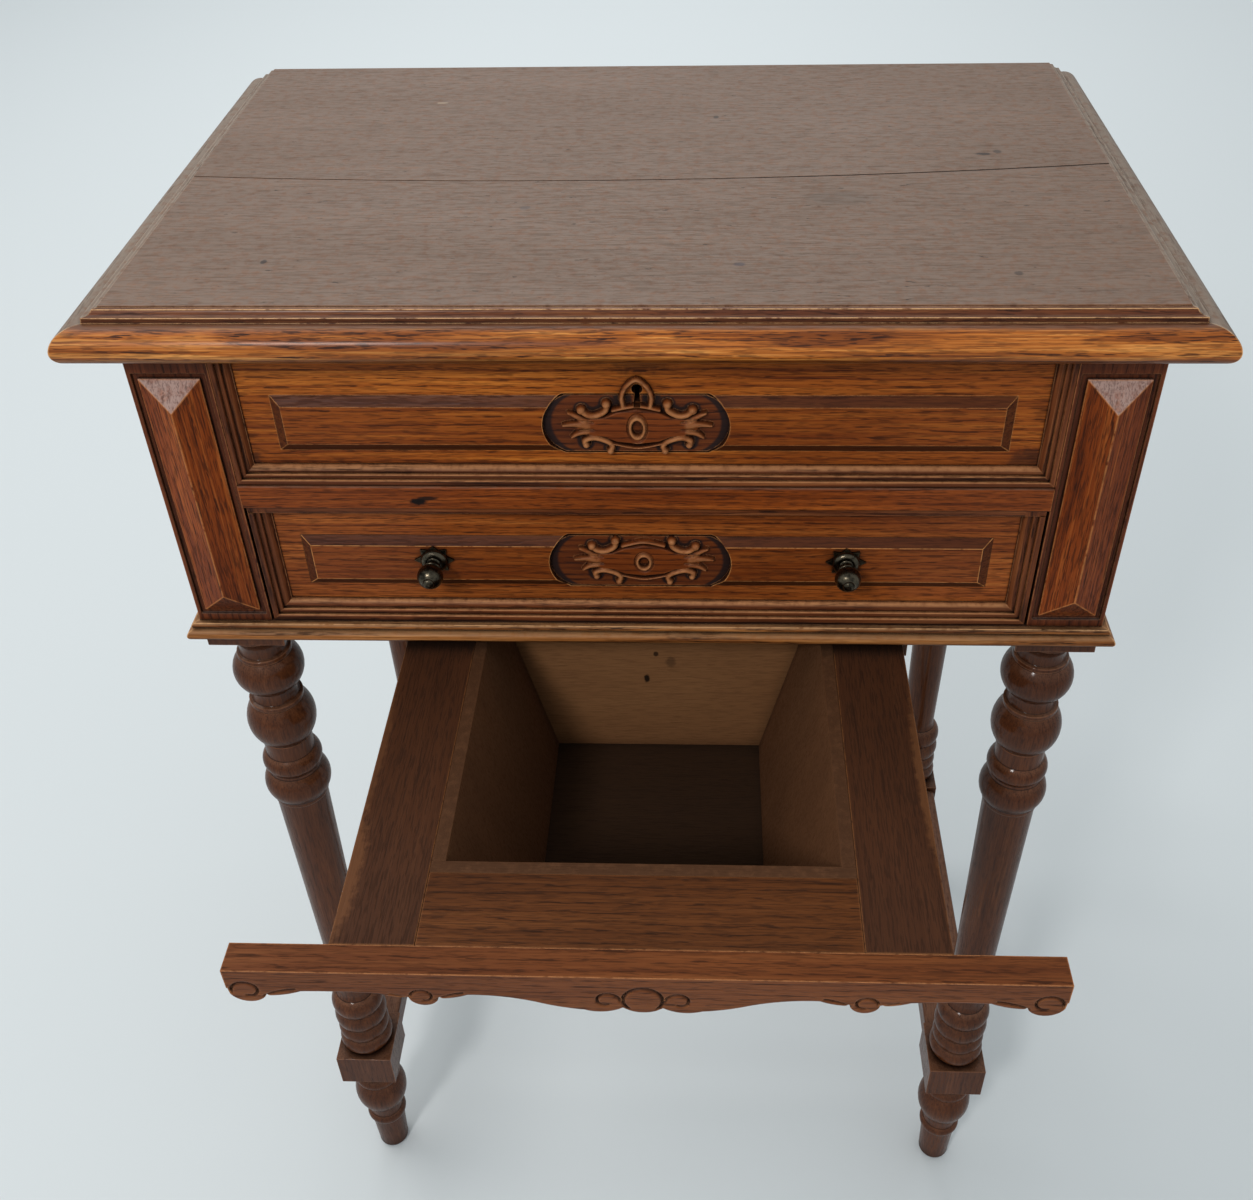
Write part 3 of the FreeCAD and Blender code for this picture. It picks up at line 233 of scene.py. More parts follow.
def oak_material(name, finish, grain, pith, spots=(), carved=False, mitre=None, crack=None, band=None):
    """A board of one finish, with its grain along one axis and its pith at a place in board space.

    spots are (middle, reach, colour, strength) of marks; carved boards are stained by their "ground"
    attribute; mitre and crack are as in board_space and crack_mask; band is (axis, start, end, colour,
    strength) of a tint that grows along one axis.
    """
    material = bpy.data.materials.new(name)
    material.use_nodes = True
    tree = material.node_tree
    g = Graph(tree)
    shader = tree.nodes["Principled BSDF"]
    place, board = board_space(g, grain, pith, mitre)
    figure = g.node("ShaderNodeGroup", node_tree=FIGURE)
    tree.links.new(board, figure.inputs["Board"])
    figure.inputs["Rings"].default_value = finish.rings
    figure.inputs["Banding"].default_value = finish.banding
    figure.inputs["Contrast"].default_value = finish.contrast
    tone, pores, fibre, blotch = (figure.outputs[k] for k in ("Tone", "Pores", "Fibre", "Blotch"))
    colour = g.blend(g.step(tone, 0.2, 0.62), finish.dark, finish.mid)
    colour = g.blend(g.step(tone, 0.55, 1.0), colour, finish.light)
    uneven = g.step(blotch, 0.32, 0.72, 0.0, 0.55)
    colour = g.blend(uneven, colour, finish.dark)
    facing = g.node("ShaderNodeSeparateXYZ", {0: g.node("ShaderNodeTexCoord").outputs["Normal"]})
    patchy = g.noise(place, 210, 3, 0.7)
    if band:
        axis, start, end, tint, strength = band
        within = g.step(g.node("ShaderNodeSeparateXYZ", {0: place}).outputs[axis], start, end, 0.0, strength)
        colour = g.blend(within, colour, tint)
    # Painted shade: bevels and edges turned away from the front are darkened.
    if finish.slant_shade:
        turned = g.step(g.math("ABSOLUTE", facing.outputs[1]), 0.975, 0.90, 0.0, finish.slant_shade[1])
        colour = g.blend(turned, colour, finish.slant_shade[0])
    tint_share = 0.0
    # Faces turned up take a tint: mostly a painted sheen of the bright surround, partly a faded finish.
    if finish.upward_tint:
        tint, strength, start, full = finish.upward_tint
        tint_share = g.step(facing.outputs[2], start, full, 0.0, strength)
        colour = g.blend(g.math("MULTIPLY", tint_share, g.step(patchy, 0.28, 0.58, 0.5, 1.0)), colour, tint)
    # Painted shade: faces turned downwards are darkened towards the pore colour.
    colour = g.blend(g.step(facing.outputs[2], -0.15, -0.5, 0.0, 0.55), colour, finish.pore)
    ink = g.step(tint_share, 0.0, 1.0, finish.pore_strength, finish.pore_strength * 0.6)
    inked = g.math("MULTIPLY", pores, ink)
    colour = g.blend(inked, colour, finish.pore)
    if finish.nicks:
        specks = g.step(g.noise(board, (110, 380, 380), 3, 0.7), 0.665, 0.70, 0.0, finish.nicks)
        colour = g.blend(specks, colour, CRACK)
    for middle, reach, tint, strength in spots:
        mark = g.math("MULTIPLY", spot_mask(g, place, middle, reach), strength)
        colour = g.blend(mark, colour, tint)
    if crack:
        colour = g.blend(crack_mask(g, place, crack), colour, CRACK)
    if carved:
        ground = g.node("ShaderNodeAttribute", attribute_name="ground").outputs["Fac"]
        colour = g.blend(g.math("MULTIPLY", ground, 0.93), colour, GROUND_STAIN)
        bright = g.node("ShaderNodeAttribute", attribute_name="rubbed").outputs["Fac"]
        bright = g.math("MULTIPLY", bright, g.step(patchy, 0.25, 0.6, 0.25, 0.8))
        colour = g.blend(bright, colour, finish.worn)
    open_air = crevice(g, finish.crease)
    arris = g.node("ShaderNodeAttribute", attribute_name="arris").outputs["Fac"]
    # Painted shade, with dirt: corners and inner rounded creases are darkened by how shut in they are.
    dirt_and_shade = g.math("MAXIMUM", g.step(open_air, 0.86, 0.35), g.step(arris, -0.2, -0.8, 0.0, 0.75))
    dirt_and_shade = g.math("MULTIPLY", dirt_and_shade, finish.grime_and_shade)
    colour = g.blend(dirt_and_shade, colour, tuple(c * 0.35 for c in finish.pore))
    outer = g.math("MAXIMUM", edge_mask(g, finish.reach), g.step(arris, 0.2, 0.8, 0.0, 0.85))
    rubbed = g.math("MULTIPLY", outer, g.step(patchy, 0.28, 0.55))
    rubbed = g.math("MULTIPLY", rubbed, g.step(open_air, 0.45, 0.75, 0.0, finish.wear))
    colour = g.blend(rubbed, colour, finish.worn)
    tree.links.new(colour, shader.inputs["Base Color"])
    rough = g.math("ADD", g.math("MULTIPLY", g.math("SUBTRACT", blotch, 0.5), 0.28), finish.roughness)
    rough = g.math("ADD", rough, g.math("MULTIPLY", pores, 0.18))
    rough = g.math("ADD", rough, g.math("MULTIPLY", dirt_and_shade, 0.2), clamp=True)
    tree.links.new(rough, shader.inputs["Roughness"])
    height = g.math("SUBTRACT", g.math("MULTIPLY", fibre, 0.35), pores)
    height = g.math("ADD", height, g.math("MULTIPLY", patchy, 0.5))
    bump = g.node("ShaderNodeBump", {"Strength": finish.bump, "Distance": 0.0004, "Height": height})
    tree.links.new(bump.outputs[0], shader.inputs["Normal"])
    shader.inputs["Specular IOR Level"].default_value = finish.specular
    shader.inputs["Coat Weight"].default_value = finish.coat
    shader.inputs["Coat Roughness"].default_value = finish.coat_roughness
    return material


CRACK = linear(40, 32, 27)
# The tint on faces turned up is a painted sheen, partly a faded finish. On the legs it is a painted highlight
# on the tops of their turnings, and on the hopper it is the darker colour of its walls' top edges.
PANEL_OAK = Oak(linear(108, 48, 14), linear(164, 86, 26), linear(206, 122, 46), linear(52, 22, 8),
                linear(214, 146, 84), wear=0.8, reach=0.0008, pore_strength=0.85, contrast=1.7,
                banding=0.4, slant_shade=(linear(66, 32, 18), 0.8),
                upward_tint=(linear(132, 98, 78), 0.7, 0.5, 0.9))
DRAWER_OAK = Oak(linear(96, 42, 15), linear(148, 76, 28), linear(184, 106, 46), linear(50, 22, 9),
                 linear(214, 146, 84), wear=0.8, reach=0.0008, pore_strength=0.8, contrast=1.5, banding=0.35,
                 slant_shade=(linear(66, 32, 18), 0.8), upward_tint=(linear(132, 98, 78), 0.7, 0.5, 0.9))
RAIL_FRONT_OAK = Oak(linear(92, 40, 13), linear(138, 66, 22), linear(172, 92, 36), linear(50, 22, 9),
                     linear(190, 124, 72), wear=0.6, reach=0.0007, contrast=1.5, banding=0.35,
                     pore_strength=0.85, upward_tint=(linear(128, 96, 78), 0.7, 0.5, 0.9))
STRIP_OAK = Oak(linear(62, 30, 16), linear(114, 60, 31), linear(164, 100, 58), linear(34, 16, 10),
                linear(178, 116, 72), wear=0.55, grime_and_shade=1.0, reach=0.0006,
                contrast=1.3, upward_tint=(linear(196, 136, 90), 0.85, 0.4, 0.85))
POST_OAK = Oak(linear(66, 30, 16), linear(98, 47, 23), linear(130, 68, 36), linear(38, 18, 11),
               linear(170, 110, 68), wear=0.6, reach=0.0008, upward_tint=(linear(138, 112, 104), 0.8, 0.3, 0.7))
LOZENGE_OAK = Oak(linear(86, 36, 12), linear(134, 60, 18), linear(182, 100, 42), linear(50, 22, 10),
                  linear(206, 134, 76), wear=0.5, reach=0.0015, pore_strength=0.85, contrast=1.7,
                  banding=0.25,
                  upward_tint=(linear(178, 148, 138), 0.95, 0.12, 0.36))
TOP_OAK = Oak(linear(104, 62, 36), linear(126, 78, 46), linear(148, 98, 62), linear(78, 64, 55),
              linear(150, 112, 90), wear=0.5, pore_strength=0.65, roughness=0.5, specular=0.2,
              banding=0.3, nicks=0.7, contrast=1.2,
              upward_tint=(linear(125, 108, 96), 0.82, 0.6, 0.95))
NOSING_OAK = Oak(linear(122, 62, 22), linear(184, 104, 38), linear(236, 162, 84), linear(54, 24, 10),
                 linear(232, 180, 126), wear=0.9, pore_strength=1.0, reach=0.0008, coat=0.22,
                 contrast=2.1, banding=0.5,
                 upward_tint=(linear(112, 84, 66), 0.5, 0.9, 0.99))
EDGE_OAK = Oak(linear(92, 50, 24), linear(122, 74, 40), linear(150, 98, 58), linear(78, 64, 54),
               linear(176, 158, 140), wear=0.7, reach=0.0010, upward_tint=(linear(136, 121, 108), 0.92, 0.05, 0.6))
BASE_OAK = Oak(linear(88, 46, 20), linear(158, 98, 48), linear(214, 154, 94), linear(44, 24, 12),
               linear(228, 176, 124), wear=0.9, reach=0.0008, pore_strength=1.0, contrast=1.3,
               upward_tint=(linear(166, 124, 88), 0.65, 0.4, 0.85))
LEG_OAK = Oak(linear(54, 28, 16), linear(88, 48, 26), linear(118, 71, 42), linear(36, 19, 13),
              linear(140, 94, 66), wear=0.5, roughness=0.3, specular=0.03, coat=0.3,
              coat_roughness=0.12, pore_strength=0.55, banding=0.3, contrast=0.9, grime_and_shade=1.0,
              crease=0.022, upward_tint=(linear(150, 108, 84), 0.4, 0.35, 0.95))
BIN_OAK = Oak(linear(56, 32, 19), linear(76, 45, 28), linear(94, 58, 36), linear(40, 23, 14),
              linear(146, 94, 54), wear=0.5, roughness=0.48, banding=0.2, contrast=0.7, pore_strength=0.6)
RAIL_OAK = Oak(linear(70, 38, 18), linear(98, 55, 26), linear(124, 76, 40), linear(44, 24, 13),
               linear(150, 98, 58), wear=0.4, banding=0.45)
APRON_OAK = Oak(linear(86, 44, 22), linear(120, 67, 34), linear(152, 94, 52), linear(44, 23, 13),
                linear(204, 138, 88), wear=0.8, reach=0.0009, pore_strength=0.75, banding=0.5, contrast=0.9)
LINING = Oak(linear(72, 48, 30), linear(104, 72, 44), linear(124, 88, 54), linear(52, 34, 22),
             linear(130, 96, 62), wear=0.3, roughness=0.62, pore_strength=0.4)
# The hopper is lined with one wood, painted in three tones as painted light: its sides and front shaded, its
# back wall lit, its floor in deepest shade.
HOPPER_SHADED_OAK = Oak(linear(85, 55, 35), linear(105, 70, 46), linear(122, 84, 56), linear(48, 29, 18),
                 linear(96, 62, 38), wear=0.3, roughness=0.6, pore_strength=0.3, grime_and_shade=0.5, banding=0.15,
                 contrast=0.6, upward_tint=(linear(70, 44, 27), 0.8, 0.5, 0.9))
HOPPER_LIT_BACK_OAK = Oak(linear(124, 84, 54), linear(146, 103, 67), linear(164, 118, 78), linear(84, 53, 33),
                      linear(110, 72, 46), wear=0.3, roughness=0.6, pore_strength=0.3, grime_and_shade=0.5,
                      banding=0.15, contrast=0.6, upward_tint=(linear(70, 44, 27), 0.8, 0.5, 0.9))
HOPPER_SHADED_FLOOR_OAK = Oak(linear(50, 34, 23), linear(58, 40, 27), linear(68, 47, 32), linear(34, 22, 15),
                       linear(60, 42, 28), wear=0.2, roughness=0.6, pore_strength=0.3, grime_and_shade=0.5, banding=0.1,
                       contrast=0.5)
CARCASE_OAK = Oak(linear(84, 44, 26), linear(118, 66, 38), linear(146, 88, 50), linear(50, 26, 16),
                  linear(170, 112, 70), wear=0.55, reach=0.0009, upward_tint=(linear(140, 112, 98), 0.5, 0.5, 0.9))


def metal_material(name, colour, roughness, dull, scale=900.0):
    """An old metal: patchy tarnish, fine scratches and worn high spots."""
    material = bpy.data.materials.new(name)
    material.use_nodes = True
    tree = material.node_tree
    g = Graph(tree)
    shader = tree.nodes["Principled BSDF"]
    place = g.node("ShaderNodeTexCoord").outputs["Object"]
    patches = g.noise(place, scale * 0.35, 4, 0.6)
    fine = g.noise(place, scale * 3, 3, 0.6)
    worn = edge_mask(g, 0.0008)
    base = g.blend(g.step(patches, 0.35, 0.68), colour, dull)
    base = g.blend(g.math("MULTIPLY", worn, 0.6), base, tuple(min(1.0, c * 2.2) for c in colour))
    base = g.blend(g.step(crevice(g, 0.004), 0.8, 0.3), base, tuple(c * 0.2 for c in dull))
    tree.links.new(base, shader.inputs["Base Color"])
    rough = g.math("ADD", roughness, g.math("MULTIPLY", g.math("SUBTRACT", patches, 0.5), 0.4), clamp=True)
    tree.links.new(rough, shader.inputs["Roughness"])
    bump = g.node("ShaderNodeBump", {"Strength": 0.2, "Distance": 0.0002, "Height": fine})
    tree.links.new(bump.outputs[0], shader.inputs["Normal"])
    shader.inputs["Metallic"].default_value = 1.0
    return material


# ---------------------------------------------------------------- mesh helpers
def piece(name, mesh, body, slot, *replaced):
    """A new object that rides on a body and stands for some CAD nodes; the slot it is given is not used."""
    made = bpy.data.objects.new(name, mesh)
    bpy.context.scene.collection.objects.link(made)
    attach(made, body)
    if replaced:
        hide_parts(*replaced)
    return made


def eased(node, radius, sharp=28.0):
    """The node's shape with its sharp edges rounded, as a new piece that stands for it.

    Its "arris" attribute is 1 on the rounded outer edges and -1 on the rounded inner corners.
    """
    bm = bmesh.new()
    bm.from_mesh(NODES[node].data)
    arris = bm.faces.layers.float.new("arris")
    bmesh.ops.remove_doubles(bm, verts=bm.verts, dist=1e-6)
    bmesh.ops.dissolve_limit(bm, angle_limit=math.radians(0.4), verts=bm.verts, edges=bm.edges)
    limit = math.radians(sharp)
    edges = [e for e in bm.edges if len(e.link_faces) == 2 and e.calc_face_angle() > limit]
    rounded = bmesh.ops.bevel(bm, geom=edges, offset=radius, segments=2, profile=0.5, affect="EDGES",
                              clamp_overlap=True)
    for face in rounded["faces"]:
        turns = [e for e in face.edges if len(e.link_faces) == 2 and e.calc_face_angle(0.0) > 0.05]
        convex = sum(1 if e.is_convex else -1 for e in turns)
        face[arris] = 1.0 if convex > 0 else -1.0
    mesh = bpy.data.meshes.new(node + "_eased")
    bm.to_mesh(mesh)
    bm.free()
    mesh.shade_smooth()
    mesh.set_sharp_from_angle(angle=math.radians(50))
    made = piece(node + "_eased", mesh, BODY_OF[node], SLOT_OF[node], node)
    made.modifiers.new("flats", "WEIGHTED_NORMAL").keep_sharp = True
    return made


def paint(thing, material):
    """Gives an object its one material, by its slot."""
    if not thing.material_slots:
        thing.data.materials.append(material)
    for slot in thing.material_slots:
        slot.material = material


# ---------------------------------------------------------------- carving
def smooth_path(points, steps=8):
    """A Catmull-Rom curve through the points, as an array."""
    p = np.array([points[0], *points, points[-1]], float)
    t = np.linspace(0, 1, steps, endpoint=False)[:, None]
    runs = []
    for a, b, c, d in zip(p, p[1:], p[2:], p[3:]):
        runs.append(0.5 * (2 * b + (c - a) * t + (2 * a - 5 * b + 4 * c - d) * t**2
                           + (3 * b - a - 3 * c + d) * t**3))
    return np.vstack(runs + [p[-1:]])


def along_path(x, z, path):
    """How far every (x, z) is from a path, and how far along it the nearest point is, 0 to 1."""
    best = np.full(x.shape, 1e9)
    where = np.zeros(x.shape)
    count = len(path) - 1
    for i in range(count):
        (ax, az), (bx, bz) = path[i], path[i + 1]
        dx, dz = bx - ax, bz - az
        t = np.clip(((x - ax) * dx + (z - az) * dz) / (dx * dx + dz * dz + 1e-12), 0, 1)
        away = np.hypot(x - ax - t * dx, z - az - t * dz)
        nearer = away < best
        best = np.where(nearer, away, best)
        where = np.where(nearer, (i + t) / count, where)
    return best, where


def ridge(x, z, points, start, end, height):
    """A rounded strap along a curve: its half width goes from start to end."""
    away, where = along_path(x, z, smooth_path(points))
    wide = start + (end - start) * where
    return height * np.sqrt(np.clip(1 - (away / wide) ** 2, 0, 1))


def soft_step(value, low, high):
    """0 below low, 1 above high, and a smooth rise between them."""
    t = np.clip((value - low) / (high - low), 0, 1)
    return t * t * (3 - 2 * t)


def solid_from_grid(name, x, z, height, keep, back, ground, rubbed):
    """A closed mesh from a height field over (x, z), facing the front, down to a flat back.

    All in millimetres: height is measured towards the viewer from PANEL_FACE; keep marks the kept points.
    """
    rows, columns = x.shape
    bm = bmesh.new()
    layer = bm.verts.layers.float.new("ground")
    bright = bm.verts.layers.float.new("rubbed")
    verts = np.empty(x.shape, object)
    for i, j in zip(*np.nonzero(keep)):
        vert = bm.verts.new((x[i, j] * MM, -height[i, j] * MM, z[i, j] * MM))
        vert[layer] = ground[i, j]
        vert[bright] = rubbed[i, j]
        verts[i, j] = vert
    for i in range(rows - 1):
        for j in range(columns - 1):
            corner = [verts[i, j], verts[i, j + 1], verts[i + 1, j + 1], verts[i + 1, j]]
            if all(c is not None for c in corner):
                bm.faces.new(corner)
    bmesh.ops.delete(bm, geom=[v for v in bm.verts if not v.link_faces], context="VERTS")
    grown = bmesh.ops.extrude_face_region(bm, geom=bm.faces[:])
    for item in grown["geom"]:
        if isinstance(item, bmesh.types.BMVert):
            item.co.y = back * MM
    bmesh.ops.recalc_face_normals(bm, faces=bm.faces[:])
    mesh = bpy.data.meshes.new(name)
    bm.to_mesh(mesh)
    bm.free()
    mesh.shade_smooth()
    mesh.set_sharp_from_angle(angle=math.radians(60))
    return mesh


# Millimetres. The carving is drawn about its own middle, its right half only.
PANEL_RECESS = 5.5            # the sunk panels' face, behind the lozenges' back
PANEL_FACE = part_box("post_lozenges")[1].y / MM + PANEL_RECESS
CARVING_BACK = 2.2            # the back of the carved solid, behind the panels' face
GROUND_STAIN = linear(32, 27, 28)
HOLLOW_X = -2.0               # middle of the hollows
HOLLOW_MARGIN = 1.0           # grid kept around a hollow
CARTOUCHE_STEP = 0.32         # spacing of the grid
RING_TALL = 6.9               # half height of the upper ring
RING_ROUND = 5.6              # and of the drawer's
RING_WIDE = 4.3               # half width of both
SHIELD_X = [0, 10, 16, 22, 30]
SHIELD_TOP = [11.2, 9.4, 6.4, 5.6, 2.2]
SHIELD_LOW = [-9.8, -8.6, -6.0, -5.2, -2.4]
SHIELD_END = 29.5
# the scrolls: points, half width at the start and at the end, height
SCROLLS = [
    ([(14.2, 12.2), (14.9, 9.2), (19.2, 6.7), (23.2, 6.9), (26.2, 9.2)], 1.75, 1.7, 3.6),
    ([(24.8, -9.6), (24.9, -7.0), (20.6, -5.7), (15.0, -7.4), (12.2, -9.9), (12.9, -12.6)],
     1.8, 1.6, 3.5),
]
# the round ends of the scrolls: x, z, radius
SCROLL_ENDS = ((14.3, 12.7, 2.4), (26.3, 9.5, 2.4), (24.6, -9.6, 2.0), (13.1, -13.0, 2.0))
# the leaves: tip, root
LEAVES = (((32.4, 8.0), (25.0, 3.2)), ((35.2, 1.2), (24.0, 0.8)), ((31.4, -5.4), (24.5, -2.2)))


def cartouche_height(x, z, top_bar, ring_tall, arch):
    """Height of the carved ornament over its panel, in millimetres from its middle. 0 is the panel.

    Also gives how rubbed every point is, and how near it is to a raised strap (both 0 to 1).
    """
    upper = np.interp(np.abs(x), SHIELD_X, SHIELD_TOP)
    lower = np.interp(np.abs(x), SHIELD_X, SHIELD_LOW)
    inside = np.minimum(upper - z, z - lower)
    inside = np.minimum(inside, SHIELD_END - np.abs(x))
    h = soft_step(inside, -0.3, 1.3) * (2.1 + 0.7 * np.cos(np.clip(x / 20, -1.5, 1.5)))
    straps = np.zeros(x.shape)
    near = np.zeros(x.shape)
    leaves = np.zeros(x.shape)
    for side in (-1, 1):
        u = x * side
        for points, start, end, tall in SCROLLS:
            straps = np.maximum(straps, ridge(u, z, points, start, end, tall))
            near = np.maximum(near, ridge(u, z, points, start + 2.6, end + 2.6, 1.0))
        for cx, cz, r in SCROLL_ENDS:
            ball = np.sqrt(np.clip(1 - ((u - cx) ** 2 + (z - cz) ** 2) / r**2, 0, 1))
            straps = np.maximum(straps, ball * 4.1)
        for tip, root in LEAVES:
            middle = ((tip[0] + root[0]) / 2, (tip[1] + root[1]) / 2 + 0.5)
            leaves = np.maximum(leaves, ridge(u, z, [tip, middle, root], 0.8, 2.7, 2.9))
    bars = ridge(x, z, top_bar, 1.1, 1.1, 3.2)
    bars = np.maximum(bars, ridge(x, z, [(-11.2, -9.0), (0, -11.2), (11.2, -9.0)], 0.75, 0.75, 3.0))
    if arch:
        straps = np.maximum(straps, ridge(x, z, arch, 1.35, 1.35, 3.4))
        near = np.maximum(near, ridge(x, z, arch, 4.6, 4.6, 1.0))
    h = np.maximum(h, np.maximum(leaves, bars))
    for side in (-1, 1):
        for cz in (4.7, -2.2):
            away, _ = along_path(x * side, z, smooth_path([(31.0, cz), (27.0, cz * 0.8), (21.0, cz * 0.6)]))
            h = h - 0.9 * np.exp(-((away / 0.55) ** 2)) * soft_step(h, 0.5, 2.0)
    around = np.hypot(x / RING_WIDE, z / ring_tall)
    h = np.where(around < 1.25, h - 0.7 * soft_step(1.25 - around, 0, 0.15), h)
    ring = np.sqrt(np.clip(1 - ((around - 0.78) / 0.24) ** 2, 0, 1))
    straps = np.maximum(straps, ring * 3.8)
    h = np.where(around < 0.56, 1.0, np.maximum(h, straps))
    rubbed = np.maximum(soft_step(straps, 1.6, 3.6), 0.55 * soft_step(leaves, 1.5, 3.0))
    rubbed = np.maximum(rubbed, 0.45 * soft_step(bars, 2.0, 3.2))
    return h, np.where(around < 0.56, 0.0, rubbed), soft_step(near, 0.0, 0.7)


def cartouche(name, body, centre, field, half, top_bar, ring_tall, arch=None):
    """The carved ornament in the hollow between the two halves of a raised field.

    centre is its middle (x, z), field the heights of the raised field, half the hollow's half width.
    """
    low, top = field
    x0, z0 = centre
    shoulder = half - 10.0
    reach_up = 29.0 if arch else top - z0 + 0.5
    reach = half + HOLLOW_MARGIN
    xs = np.arange(HOLLOW_X - reach, HOLLOW_X + reach + 0.1, CARTOUCHE_STEP)
    zs = np.arange(low - z0 - 1.5, reach_up, CARTOUCHE_STEP)
    x, z = np.meshgrid(xs, zs)
    h, rubbed, near = cartouche_height(x - x0, z, top_bar, ring_tall, arch)
    middle = (low + top) / 2 - z0
    tall = (top - low) / 2
    sag = half - shoulder
    bow = (sag * sag + tall * tall) / (2 * sag)
    edge = half - bow + np.sqrt(np.clip(bow**2 - (z - middle) ** 2, 0, None))
    inwards = edge - np.abs(x - HOLLOW_X)
    hollow = (inwards > -0.4) & (np.abs(z - middle) < tall + 0.4)
    raised = soft_step(h, 0.15, 1.1)
    dip = -0.95 + 0.6 * soft_step(inwards, 3.0, 4.4)
    chatter = 0.10 * np.sin(x * 3.1 + np.sin(z * 2.3)) * np.sin(z * 2.7 + np.sin(x * 1.9))
    stained = np.maximum(near, 1 - soft_step(inwards, 3.2, 4.8))
    ground = (1 - raised) * (0.36 + 0.64 * stained)
    h = np.where(hollow, np.maximum(h, dip + chatter * (1 - raised)), h)
    keep = hollow | (h > 0.03)
    if arch:
        key_x, key_z = KEYHOLE[0], KEYHOLE[1] - z0
        keep &= ~((np.abs(x - key_x) < 1.4) & (z > key_z - 7.9) & (z < key_z + 3.0))
        keep &= ~(np.hypot(x - key_x, z - key_z) < 2.9)
    back = PANEL_FACE + CARVING_BACK
    mesh = solid_from_grid(name, x, z + z0, h - PANEL_FACE, keep, back, ground, rubbed)
    made = piece(name, mesh, body, "oak_front")
    paint(made, oak_material(name + "_oak", CARVED_OAK, "x", (0.3, -0.16, z0 * MM - 0.2), carved=True))
    return made


KEYHOLE = (-1.2, 705.0)     # x and height, in millimetres
CARVED_OAK = Oak(linear(88, 38, 14), linear(128, 62, 24), linear(160, 88, 38), linear(48, 22, 11),
                 linear(186, 124, 78), wear=0.85, reach=0.0007, grime_and_shade=0.9)


def make_cartouches():
    """The ornament with the keyhole arch on the fixed front, and the plainer one on the drawer."""
    arch = [(-6.4, 11.4), (-6.9, 17.0), (-4.6, 22.6), (0, 26.0), (4.6, 22.6), (6.9, 17.0), (6.4, 11.4)]
    cartouche("upper_cartouche", "table", (-1.4, 685.0), (670.8, 701.6), 44.3,
              [(-11.4, 9.6), (0, 11.9), (10.6, 9.8)], RING_TALL, arch)
    cartouche("drawer_cartouche", "drawer", (0.0, 604.4), (587.6, 619.2), 46.3,
              [(-10.8, 10.0), (0, 12.6), (10.4, 10.2)], RING_ROUND)


# ---------------------------------------------------------------- apron
APRON_LOW, APRON_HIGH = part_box("bin_apron")
APRON_HALF = (APRON_HIGH.x - APRON_LOW.x) / 2 / MM
APRON_MIDDLE = (APRON_HIGH.x + APRON_LOW.x) / 2 / MM
APRON_COLUMNS = 881
APRON_ROWS = 46


def arc_points(a, b, c, count=14):
    """Points along the circle through a, b and c, from a to c."""
    (ax, ay), (bx, by), (cx, cy) = a, b, c
    d = 2 * (ax * (by - cy) + bx * (cy - ay) + cx * (ay - by))
    sa, sb, sc = ax * ax + ay * ay, bx * bx + by * by, cx * cx + cy * cy
    ux = (sa * (by - cy) + sb * (cy - ay) + sc * (ay - by)) / d
    uy = (sa * (cx - bx) + sb * (ax - cx) + sc * (bx - ax)) / d
    turn = math.atan2(ay - uy, ax - ux)
    end = math.atan2(cy - uy, cx - ux)
    mid = (math.atan2(by - uy, bx - ux) - turn) % math.tau
    sweep = (end - turn) % math.tau
    if mid > sweep:
        sweep -= math.tau
    r = math.hypot(ax - ux, ay - uy)
    return [(ux + r * math.cos(turn + sweep * i / count), uy + r * math.sin(turn + sweep * i / count))
            for i in range(count + 1)]


def apron_edge(x):
    """Height of the apron's lower edge below its top, in millimetres, at |x| from its middle."""
    x = np.abs(x)
    arcs = [((176, -11.5), (168.4, -22.4), (160.4, -17.8)), ((160.4, -17.8), (152.5, -17.0), (145, -14.4)),
            ((145, -14.4), (128, -14.2), (112, -15.0)), ((112, -15.0), (105, -17.2), (99.4, -17.6)),
            ((99.4, -17.6), (93, -22.8), (86.6, -17.8)), ((86.6, -17.8), (80, -17.0), (74, -14.8)),
            ((74, -14.8), (58, -15.8), (45, -19.0)), ((45, -19.0), (34, -22.4), (25, -23.9)),
            ((25, -23.9), (17.5, -25.2), (9.4, -22.6)), ((9.4, -22.6), (8.9, -22.2), (8.4, -22.0)),
            ((8.4, -22.0), (0, -25.3), (-8.4, -22.0))]
    points = [p for arc in arcs for p in arc_points(*arc)]
    points = sorted(p for p in points if p[0] >= 0)
    return np.interp(x, [p[0] for p in points], [p[1] for p in points])


def spiral(cx, cz, start, turn, wide, narrow):
    """A scroll line: starts at an angle (in turns), goes round by turn and winds inwards."""
    count = 22
    points = []
    for i in range(count + 1):
        t = i / count
        angle = math.tau * (start + turn * t)
        r = wide + (narrow - wide) * t
        points.append((cx + r * math.cos(angle), cz + r * math.sin(angle)))
    return points


def apron_grooves():
    """The cut lines on the right half of the apron, as (points, half width, depth)."""
    return [
        (spiral(168.0, -14.2, -0.02, 0.80, 7.0, 3.2), 0.55, 1.3),
        ([(160.9, -17.4), (157.6, -15.4), (152, -13.4), (147.5, -12.6)], 0.6, 1.2),
        (spiral(93.0, -16.4, 0.02, 0.74, 5.6, 2.4), 0.5, 1.2),
        ([(86.9, -17.6), (83.4, -15.4), (79.0, -13.6), (76.0, -13.0)], 0.55, 1.1),
        ([(99.2, -17.4), (102.8, -16.0), (107, -14.4)], 0.5, 0.9),
        (spiral(15.4, -16.8, 0.50, -0.80, 6.0, 2.6), 0.55, 1.3),
        (spiral(0, -16.2, 0.62, -0.74, 8.4, 8.4), 0.65, 1.5),
    ]


